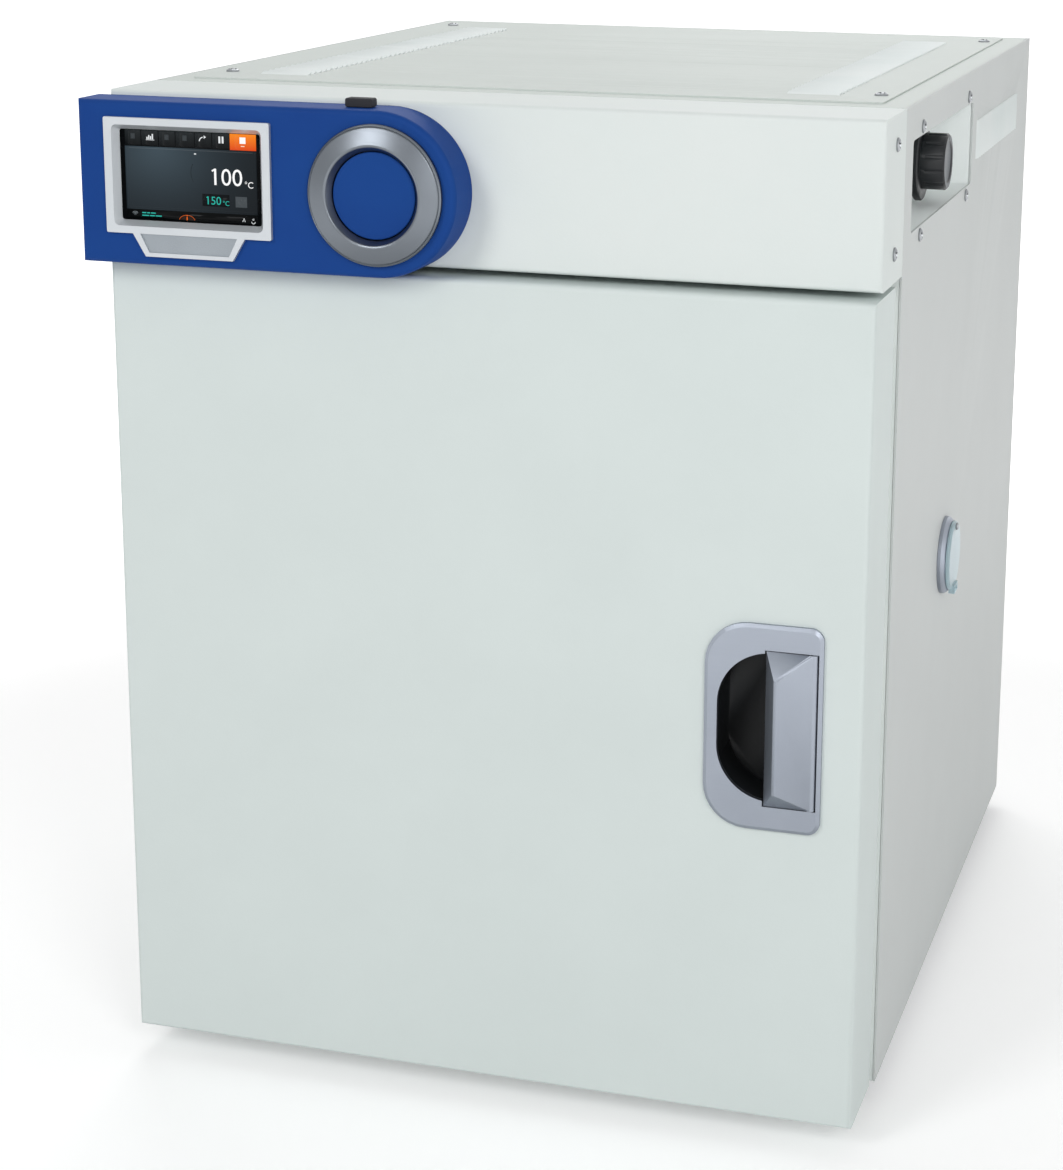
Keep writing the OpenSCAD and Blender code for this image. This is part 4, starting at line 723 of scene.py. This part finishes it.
def node_mesh(node: str) -> tuple[ndarray, ndarray]:
    """Reads a CAD node's points, with its loose triangles joined.

    Args:
        node: the CAD node's name.

    Returns:
        Places in millimetres, and rows of three point numbers.
    """
    mesh = FRAME["nodes"][node].data
    corners = np.empty(len(mesh.loops), dtype=np.int64)
    mesh.loops.foreach_get("vertex_index", corners)
    unique, same = np.unique(np.round(read_rows(mesh.vertices, "co"), 6), axis=0, return_inverse=True)
    return unique / MM, same.reshape(-1)[corners].reshape(-1, 3)


def islands(points: ndarray, triangles: ndarray) -> list[ndarray]:
    """Splits a mesh into its separate solids.

    Every point starts with its own number, and each triangle hands its lowest number round until none
    changes.

    Args:
        points: places, one row each.
        triangles: rows of three point numbers.

    Returns:
        The points of each solid.
    """
    label = np.arange(len(points))
    while True:
        lowest = label.copy()
        np.minimum.at(lowest, triangles.reshape(-1), np.repeat(label[triangles].min(axis=1), 3))
        if np.array_equal(lowest, label):
            return [points[label == number] for number in np.unique(label)]
        label = lowest


def polished(node: str, finish: Finish, edge_mm: float = 0.0, smooth_deg: float = 30.0,
             dissolve: bool = True, accent: Optional[Finish] = None,
             where: Optional[Picker] = None) -> Object:
    """Stands a smoothed copy in for a CAD node, with a fine bevel on its edges.

    Args:
        node: the CAD node's name.
        finish: the copy's finish.
        edge_mm: width of the bevel, or 0 for crisp edges.
        smooth_deg: edges sharper than this stay crisp.
        dissolve: joins the flat faces' triangles first.
        accent: a second finish for some faces.
        where: picks those faces from their middles in millimetres and their normals.

    Returns:
        The copy, which replaces the node.
    """
    source = FRAME["nodes"][node]
    mesh = source.data.copy()
    mesh.name = node + "_body"
    shape = bmesh.new()
    shape.from_mesh(mesh)
    bmesh.ops.remove_doubles(shape, verts=shape.verts, dist=SAME_PLACE)
    if dissolve:
        bmesh.ops.dissolve_limit(shape, angle_limit=FLAT, verts=shape.verts, edges=shape.edges)
    shape.to_mesh(mesh)
    shape.free()
    mesh.materials.clear()
    mesh.materials.append(finish.build())
    mesh.polygons.foreach_set("use_smooth", [True] * len(mesh.polygons))
    if accent is not None and where is not None:
        mesh.materials.append(accent.build())
        picked = where(read_rows(mesh.polygons, "center") / MM, read_rows(mesh.polygons, "normal"))
        mesh.polygons.foreach_set("material_index", picked.astype(np.int32))
    mesh.set_sharp_from_angle(angle=math.radians(smooth_deg))
    piece = add_object(node + "_body", mesh)
    if edge_mm > 0:
        bevel = piece.modifiers.new("edge", "BEVEL")
        bevel.width = edge_mm * MM
        bevel.segments = 2
        bevel.limit_method = "ANGLE"
        bevel.angle_limit = CORNER
        bevel.harden_normals = True
    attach(piece, source["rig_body"])
    LOG.info("polished %s in %s", node, finish.name)
    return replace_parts(piece, node)


# Assembly


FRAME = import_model()
FRONT = np.array([0.0, -1.0, 0.0])


@dataclass
class SheetMetal:
    """The folded sheets and other CAD pieces that keep their shape and get fine edges.

    Args:
        edges: width of the rounded edge of each piece that shows one, in millimetres.
        facing: the least share of a normal that points the way a face looks.
        slanted: a face whose normal points less than this share along an axis is slanted.
    """

    edges: tuple[tuple[str, float], ...] = (
        ("front_frame", 0.5), ("fascia_panel", 0.9), ("door_skin", 1.1), ("side_panel_left", 0.7),
        ("side_panel_right", 0.7), ("rear_panel", 0.4), ("top_frame", 0.7), ("top_cover", 0.35),
        ("recess_box", 0.6), ("panel_housing", 1.6), ("screen_bezel", 0.35), ("handle_paddle", 0.8),
        ("port_flange", 0.5), ("port_cover", 0.4), ("usb_cap", 0.8), ("rubber_feet", 0.8),
        ("mains_inlet", 0.4), ("damper_knob", 0.5), ("door_inner_panel", 0.6),
    )
    facing: float = 0.9
    slanted: float = 0.99

    def build(self, made_elsewhere: set[str]) -> None:
        """Polishes every CAD node that no other piece stands in for.

        Args:
            made_elsewhere: the nodes that other pieces replace.
        """
        width = dict(self.edges)
        accents = {
            "damper_knob": (KNOB_FACE, self.knob_end),
            "screen_bezel": (POCKET_LACQUER, self.tab_pocket),
            # The louvres' slanted faces take the paler coat: painted light
            "side_panel_right": (LOUVRE_PAINTED_LIGHT_COAT, self.side_louvres),
            "side_panel_left": (LOUVRE_PAINTED_LIGHT_COAT, self.side_louvres),
            "top_cover": (LOUVRE_PAINTED_LIGHT_COAT, self.roof_louvres),
        }
        plate_facets = 12.0
        for finish, nodes in NODE_FINISH.items():
            for node in nodes:
                if node in made_elsewhere:
                    continue
                if node == "handle_plate":
                    polished(node, finish, dissolve=False, smooth_deg=plate_facets)
                    continue
                accent, where = accents.get(node, (None, None))
                polished(node, finish, width.get(node, 0.0), accent=accent, where=where)

    def knob_end(self, middles: ndarray, normals: ndarray) -> ndarray:
        """Picks the knob's dished end face."""
        dish = 3.0
        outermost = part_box("damper_knob")[1][0] / MM
        return (normals[:, 0] > self.facing) & (middles[:, 0] > outermost - dish)

    def side_louvres(self, middles: ndarray, normals: ndarray) -> ndarray:
        """Picks the slanted faces of the louvres at the top of a side."""
        row_z, half_row, past_recess_y = 664.0, 15.5, 55.0
        in_row = (abs(middles[:, 2] - row_z) < half_row) & (middles[:, 1] > past_recess_y)
        return in_row & (abs(normals[:, 0]) < self.slanted)

    def roof_louvres(self, middles: ndarray, normals: ndarray) -> ndarray:
        """Picks the slanted faces of the two bands of louvres in the roof."""
        band_x, half_band = 197.0, 19.0
        return (abs(abs(middles[:, 0]) - band_x) < half_band) & (normals[:, 2] < self.slanted)

    def tab_pocket(self, middles: ndarray, normals: ndarray) -> ndarray:
        """Picks the floor of the pocket in the bezel's lower tab."""
        tab_high, sunk = 17.0, 0.5
        low = np.array(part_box("screen_bezel")[0]) / MM
        in_tab = (middles[:, 1] > low[1] + sunk) & (middles[:, 2] < low[2] + tab_high)
        return (normals[:, 1] < -self.facing) & in_tab


@dataclass
class Dial:
    """The turned ring and the blue button inside it.

    Args:
        centre: the middle of the dial on the panel's face, in millimetres.
        outer_r: the ring's outer radius.
        mouth_r: the radius of the ring's mouth.
        rise: how far the ring stands off the panel.
        button_r: the button's radius.
        button_rise: how far the button stands off the panel.
        sunk: how far the ring's skirt reaches behind the panel's face.
        gap: the gap between button and ring.
    """

    centre: tuple[float, float, float] = (-62.5, -354.3, 660.5)
    outer_r: float = 47.5
    mouth_r: float = 33.0
    rise: float = 9.0
    button_r: float = 29.2
    button_rise: float = 3.5
    sunk: float = 9.0
    gap: float = 0.6

    def build(self) -> None:
        """Makes the ring and the button."""
        self.ring()
        self.button()

    def ring(self) -> None:
        """Turns the ring: a fine step at the rim, a wide sloped face and a bright inner bevel."""
        h, r, mouth = self.rise, self.outer_r, self.mouth_r
        bore = self.button_r + self.gap
        rim, soft, turns = 8.0, 0.45, 144
        face = np.array([
            [bore, -self.sunk], [r - rim, -self.sunk], [r - rim, 0.4], [r, 0.4], [r, h * 0.36],
            [r - 1.0, h * 0.5], [r - 1.5, h * 0.44], [r - 2.1, h * 0.56], [mouth + 1.2, h],
            [mouth - 0.2, h - 0.5], [bore, self.button_rise - 0.3], [bore, -self.sunk],
        ])
        profile = rounded(face, soft)[:-1]
        points = lathe(profile, np.array(self.centre), FRONT, turns)
        faces = grid_faces(len(profile), turns, True, True)
        ring = new_piece("dial_ring_turned", points, faces, (DIAL_METAL,), "dial",
                         smooth_deg=28)
        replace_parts(ring, "dial_ring")

    def button(self) -> None:
        """Turns the button: a flat face with a soft edge."""
        r, h = self.button_r, self.button_rise
        stem_r, stem_l = 4.0, 9.9
        soft, turns = 1.1, 96
        face = np.array([
            [0.0, h], [r - 3.0, h], [r, h], [r, 0.0], [stem_r, 0.0], [stem_r, -stem_l], [0.0, -stem_l],
        ])
        profile = rounded(face, soft)
        points = lathe(profile, np.array(self.centre), FRONT, turns)
        faces = grid_faces(len(profile), turns, False, True)
        button = new_piece("dial_button_moulded", points, faces, (BLUE_ABS,), "button")
        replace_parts(button, "dial_button")


@dataclass
class Shape:
    """A flat figure on the screen, in millimetres from the screen's middle.

    Args:
        points: rows of right and up.
        faces: lists of point numbers.
        colours: sRGB hex of the figure, or of its top and its foot, or of a glow's heart and its far end.
        level: how many layers it lies over the screen's ground.
        heart: the middle of a glow, or nothing where the colours run from top to foot.
    """

    points: ndarray
    faces: ndarray
    colours: tuple[str, ...]
    level: int = 1
    heart: Optional[tuple[float, float]] = None


@dataclass
class Screen:
    """The lit picture behind the screen's glass: icons, two temperatures and status marks.

    Places on it are shares of its width from the left and of its height from the top.

    Args:
        middle: the middle of the opening, in millimetres.
        size: width and height of the opening.
        layer: the distance from one layer to the next.
    """

    middle: tuple[float, float, float] = (-198.0, -351.04, 666.0)
    size: tuple[float, float] = (103.0, 61.4)
    layer: float = 0.03

    def at(self, s: float, t: float) -> tuple[float, float]:
        """Turns shares of the width from the left and of the height from the top to millimetres."""
        return ((s - 0.5) * self.size[0], (0.5 - t) * self.size[1])

    def box(self, s0: float, t0: float, s1: float, t1: float, *colours: str, level: int = 1) -> Shape:
        """A rectangle between two corners, fine enough for its colour to run from top to foot."""
        left, top = self.at(s0, t0)
        right, foot = self.at(s1, t1)
        rows = 2 if len(colours) == 1 else 9
        x, y = np.meshgrid([left, right], np.linspace(top, foot, rows))
        return Shape(np.stack((x, y), axis=-1).reshape(-1, 2), grid_faces(rows, 2), colours, level)

    def field(self, s0: float, t0: float, s1: float, t1: float) -> Shape:
        """The slate field, whose glow fades with the distance from a heart at its upper left."""
        columns, rows = 33, 21
        heart = (0.27, 0.2)
        s, t = np.meshgrid(np.linspace(s0, s1, columns), np.linspace(t0, t1, rows))
        flat = np.stack(self.at(s, t), axis=-1).reshape(-1, 2)
        return Shape(flat, grid_faces(rows, columns), ("3E4C55", "101316"), 1, self.at(*heart))

    def stroke(self, path: ndarray, width: float, colour: str, level: int = 2) -> Shape:
        """A line of even width: each point of the path moves half the width to both sides."""
        along = np.gradient(path, axis=0)
        along = along / np.linalg.norm(along, axis=1, keepdims=True)
        aside = np.stack((-along[:, 1], along[:, 0]), axis=1) * width / 2
        points = np.stack((path + aside, path - aside), axis=1).reshape(-1, 2)
        return Shape(points, grid_faces(len(path), 2), (colour,), level)

    def arc(self, s: float, t: float, radius: float, start: float, stop: float,
            squeeze: float = 1.0) -> ndarray:
        """Points of an arc about a place on the screen, from one angle in degrees to another."""
        angle = np.radians(np.linspace(start, stop, 25))[:, None]
        return np.array(self.at(s, t)) + np.hstack((np.cos(angle), np.sin(angle) * squeeze)) * radius

    def flag(self, s: float, t: float, height: float) -> ndarray:
        """The short slope at the head of a figure one, whose left foot stands at a place on the screen."""
        return np.array(self.at(s, t)) + np.array([[0.07, 0.96], [-0.14, 0.83]]) * height

    def figures(self, text: str, s: float, t: float, height: float, colour: str) -> Shape:
        """A number or a degree sign in the plain built-in face.

        Args:
            text: the characters.
            s: where it starts, as a share of the width.
            t: where it stands, as a share of the height.
            height: height of a digit in millimetres.
            colour: sRGB hex of the glow.

        Returns:
            The figure, flattened from the text's own mesh.
        """
        curve = bpy.data.curves.new("figures", "FONT")
        curve.body = text
        curve.resolution_u = 4
        holder = add_object("figures", curve)
        bpy.context.view_layer.update()
        mesh = bpy.data.meshes.new_from_object(holder)
        bpy.data.objects.remove(holder)
        bpy.data.curves.remove(curve)
        flat = read_rows(mesh.vertices, "co")[:, :2]
        faces = [tuple(polygon.vertices) for polygon in mesh.polygons]
        bpy.data.meshes.remove(mesh)
        digit_height = 0.69
        flat = (flat - np.array([flat[:, 0].min(), 0.0])) * height / digit_height
        return Shape(flat + np.array(self.at(s, t)), faces, (colour,), 3)

    def ground(self) -> list[Shape]:
        """The dark border, the row of seven cells, the slate field and the black foot."""
        edges = (0.03, 0.15, 0.276, 0.398, 0.536, 0.66, 0.788)
        gap = 0.003
        cells = [self.box(a + gap, 0.0, b - gap, 0.172, "24282A", "0B0D0E")
                 for a, b in zip(edges, edges[1:])]
        return [
            self.box(0.0, 0.0, 1.0, 1.0, "060708", level=0), *cells,
            self.box(0.788, 0.0, 0.974, 0.178, "FB8A22", "E04A16"),
            self.field(0.03, 0.182, 0.974, 0.885),
            self.box(0.03, 0.885, 0.974, 1.0, "020303"),
        ]

    def icons(self) -> list[Shape]:
        """The marks in the cells and along the foot."""
        pale, dim = "E8ECEE", "3A3F42"
        bars = [self.box(0.19 + 0.013 * k, 0.1 - rise, 0.199 + 0.013 * k, 0.1, pale, level=2)
                for k, rise in enumerate((0.025, 0.045, 0.035, 0.06))]
        faint = [self.box(s, 0.04, s + 0.03, 0.1, dim, level=2) for s in (0.075, 0.32, 0.45)]
        head = np.array([[0.0, 1.1], [1.7, 0.0], [0.0, -1.1]]) + np.array(self.at(0.603, 0.05))
        caret = np.array([[-0.9, -1.2], [0.0, 1.2], [0.9, -1.2]]) + np.array(self.at(0.875, 0.945))
        waves = [self.stroke(self.arc(0.09, 0.955, radius, 40, 140), 0.35, "7C8488")
                 for radius in (0.9, 1.8, 2.7)]
        dome = self.arc(0.466, 0.995, 6.0, 15, 165, 0.72)
        dome_fill = Shape(dome, [list(range(len(dome)))], ("2A1A14",), 2)
        dashes = [self.box(s, t, s + wide, t + 0.012, "2BB6A6", level=2)
                  for t, row in ((0.915, ((0.14, 0.03), (0.176, 0.022), (0.204, 0.034))),
                                 (0.945, ((0.14, 0.05), (0.196, 0.036), (0.238, 0.044))))
                  for s, wide in row]
        keys = [self.box(*corners, colour, level=2) for *corners, colour in (
            (0.708, 0.035, 0.721, 0.11, pale), (0.731, 0.035, 0.744, 0.11, pale),
            (0.858, 0.035, 0.9, 0.105, "FFFFFF"), (0.866, 0.128, 0.892, 0.138, "FFE0C8"))]
        wick = [self.box(0.4625, top, 0.4695, foot, "F26A1B", level=3)
                for top, foot in ((0.945, 0.98), (0.925, 0.936))]
        return [
            *bars, *faint, *waves, *dashes, dome_fill,
            self.box(0.186, 0.104, 0.246, 0.11, pale, level=2),
            self.stroke(self.arc(0.6, 0.1, 3.0, 175, 100), 0.7, pale),
            Shape(head, [[0, 2, 1]], (pale,), 2),
            *keys, self.stroke(dome, 0.35, "C8581E", level=3), *wick,
            self.stroke(caret, 0.5, pale),
            self.stroke(self.arc(0.942, 0.96, 1.3, 180, 360), 0.4, pale),
            self.stroke(self.arc(0.942, 0.935, 0.5, 0, 350), 0.25, pale),
            self.stroke(self.arc(0.62, 0.45, 12.0, 150, 210), 0.45, "20282C", level=3),
            self.box(0.53, 0.232, 0.545, 0.247, "D8DCDE", level=3),
        ]

    def readings(self) -> list[Shape]:
        """The two temperatures, with the darker box and the key beside the lower one."""
        teal = "2BB6A6"
        return [
            self.box(0.58, 0.675, 0.775, 0.812, "0C1012", level=2),
            self.box(0.818, 0.69, 0.9, 0.808, "474D51", level=2),
            self.figures("100", 0.67, 0.572, 11.2, "FFFFFF"),
            self.figures("\u00b0C", 0.888, 0.59, 4.2, "FFFFFF"),
            self.figures("150", 0.618, 0.79, 5.4, teal),
            self.figures("\u00b0C", 0.728, 0.797, 3.2, teal),
            self.stroke(self.flag(0.67, 0.572, 11.2), 1.1, "FFFFFF", level=4),
            self.stroke(self.flag(0.618, 0.79, 5.4), 0.6, teal, level=4),
        ]

    def build(self) -> None:
        """Joins all figures to one thin piece, whose colours glow."""
        shapes = [*self.ground(), *self.icons(), *self.readings()]
        points, faces, tints = [], [], []
        start = 0
        for shape in shapes:
            flat = np.asarray(shape.points, dtype=float)
            x = self.middle[0] + flat[:, 0]
            depth = np.full(len(flat), self.middle[1] - shape.level * self.layer)
            z = self.middle[2] + flat[:, 1]
            points.append(np.stack((x, depth, z), axis=1) * MM)
            faces += [self.facing(flat, face, start) for face in shape.faces]
            tints.append(self.tint(flat, shape))
            start += len(flat)
        piece = new_piece("screen_picture", np.concatenate(points), faces, (GRAPHICS,), "cabinet",
                          closed=False)
        lit = piece.data.color_attributes.new("lit", "FLOAT_COLOR", "POINT")
        lit.data.foreach_set("color", np.concatenate(tints).reshape(-1))
        skin = piece.modifiers.new("thickness", "SOLIDIFY")
        skin.thickness = self.layer * 0.9 * MM
        skin.offset = -1.0

    def facing(self, flat: ndarray, face: list, start: int) -> list[int]:
        """Winds a face so that it looks out of the screen: its summed area is positive."""
        order = np.asarray(face)
        x, y = flat[order, 0], flat[order, 1]
        area = np.sum(x * np.roll(y, -1) - np.roll(x, -1) * y)
        return [int(k) + start for k in (order if area > 0 else order[::-1])]

    def tint(self, flat: ndarray, shape: Shape) -> ndarray:
        """Colours each point, from the first colour at the top or heart to the last at the foot or far end.

        The share of the last colour is the drop below the top over the height. For a glow it is
        1 - exp(-(d / reach)^fall), where d is the distance from its heart.
        """
        top, foot = np.array(hex_linear(shape.colours[0])), np.array(hex_linear(shape.colours[-1]))
        height = flat[:, 1]
        share = (height.max() - height) / max(np.ptp(height), 1e-9)
        if shape.heart is not None:
            reach, fall, sideways = 34.0, 1.4, 0.8
            away = np.linalg.norm((flat - np.array(shape.heart)) * np.array([sideways, 1.0]), axis=1)
            share = 1 - np.exp(-(away / reach) ** fall)
        return top + share[:, None] * (foot - top)


@dataclass
class CrossHeads:
    """Pan heads with a cross recess, one on each screw of a CAD node.

    Args:
        node: the CAD node that holds the screws.
        arm_reach: half the length of the cross.
        arm_half: half the width of an arm.
        depth: how deep the recess goes.
        soft: width of the recess's walls.
        rings: steps from the middle to the rim.
        turns: steps round the head.
    """

    node: str
    arm_reach: float = 3.3
    arm_half: float = 1.3
    depth: float = 1.6
    soft: float = 0.2
    rings: int = 17
    turns: int = 48

    def build(self) -> None:
        """Finds every screw, makes all heads as one piece and replaces the CAD node."""
        points, faces, shades = [], [], []
        for number, solid in enumerate(islands(*node_mesh(self.node))):
            head, dark = self.head(solid)
            quads = grid_faces(head.shape[0], self.turns, False, True)
            points.append(head.reshape(-1, 3))
            faces.append(quads + number * head.shape[0] * self.turns)
            # Faces deep in the cross take the near-black finish: painted shade in the recess
            shades.append(dark.reshape(-1)[quads].mean(axis=1) > 0.5)
        body = FRAME["nodes"][self.node]["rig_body"]
        piece = new_piece(self.node + "_heads", np.concatenate(points), np.concatenate(faces).tolist(),
                          (PLATED, SCREW_CROSS_PAINTED_SHADE), body, smooth_deg=40,
                          shades=np.concatenate(shades))
        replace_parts(piece, self.node)

    def head(self, solid: ndarray) -> tuple[ndarray, ndarray]:
        """Shapes one head and its shank over a CAD screw.

        At share q of the radius the head stands h * (1 - crown * q^power) high. The recess takes away
        depth times the larger of two arms, and an arm is 1 within half its width and its reach, with soft
        walls.

        Args:
            solid: the CAD screw's points, in millimetres.

        Returns:
            Places in metres, as rings by turns by 3, and how far each lies in the recess.
        """
        low, high = solid.min(axis=0), solid.max(axis=0)
        middle, reach = (low + high) / 2, (high - low) / 2
        pairs = [abs(reach[(k + 1) % 3] - reach[(k + 2) % 3]) for k in range(3)]
        along = int(np.argmin(pairs))
        across = [k for k in range(3) if k != along]
        radius = reach[across[0]]
        near_rim = 0.95
        wide = np.linalg.norm(solid[:, across] - middle[across], axis=1) > radius * near_rim
        rim = solid[wide, along]
        out = 1.0 if high[along] - rim.mean() < rim.mean() - low[along] else -1.0
        top = high[along] if out > 0 else low[along]
        base = rim.min() if out > 0 else rim.max()
        rise = abs(top - base)
        facing = np.zeros(3)
        facing[along] = out
        centre = middle.copy()
        centre[along] = base
        q = np.linspace(0, 1, self.rings)
        crown, power, lean = 0.6, 2.6, 0.3
        neck, length = radius * 0.4, 2.5
        shank = np.array([[radius, 0.0], [neck, 0.0], [neck, -length], [0.0, -length]])
        dome = np.stack((q * radius, rise * (1 - crown * q ** power)), axis=1)
        profile = np.concatenate((dome, shank))
        t = np.linspace(0, 2 * np.pi, self.turns, endpoint=False) + lean
        x = np.abs(profile[:, 0, None] * np.cos(t))
        y = np.abs(profile[:, 0, None] * np.sin(t))
        cross = np.maximum(self.arm(x, y), self.arm(y, x))
        cross[self.rings:] = 0
        places = lathe(profile, centre, facing, self.turns)
        return places - cross[..., None] * self.depth * facing * MM, cross

    def arm(self, aside: ndarray, along: ndarray) -> ndarray:
        """How far points lie in one arm of the cross: 1 inside it, 0 outside, and a slope at its walls."""
        within = np.clip((self.arm_half - aside) / self.soft + 0.5, 0, 1)
        return within * np.clip((self.arm_reach - along) / self.soft + 0.5, 0, 1)


def main() -> None:
    """Builds the stage, then the pieces in order."""
    logging.basicConfig(level=logging.INFO, format="%(message)s")
    Studio().build()
    Dial().build()
    Screen().build()
    CrossHeads("panel_screws").build()
    SheetMetal().build({"dial_ring", "dial_button", "panel_screws"})


if __name__ == "__main__":
    main()
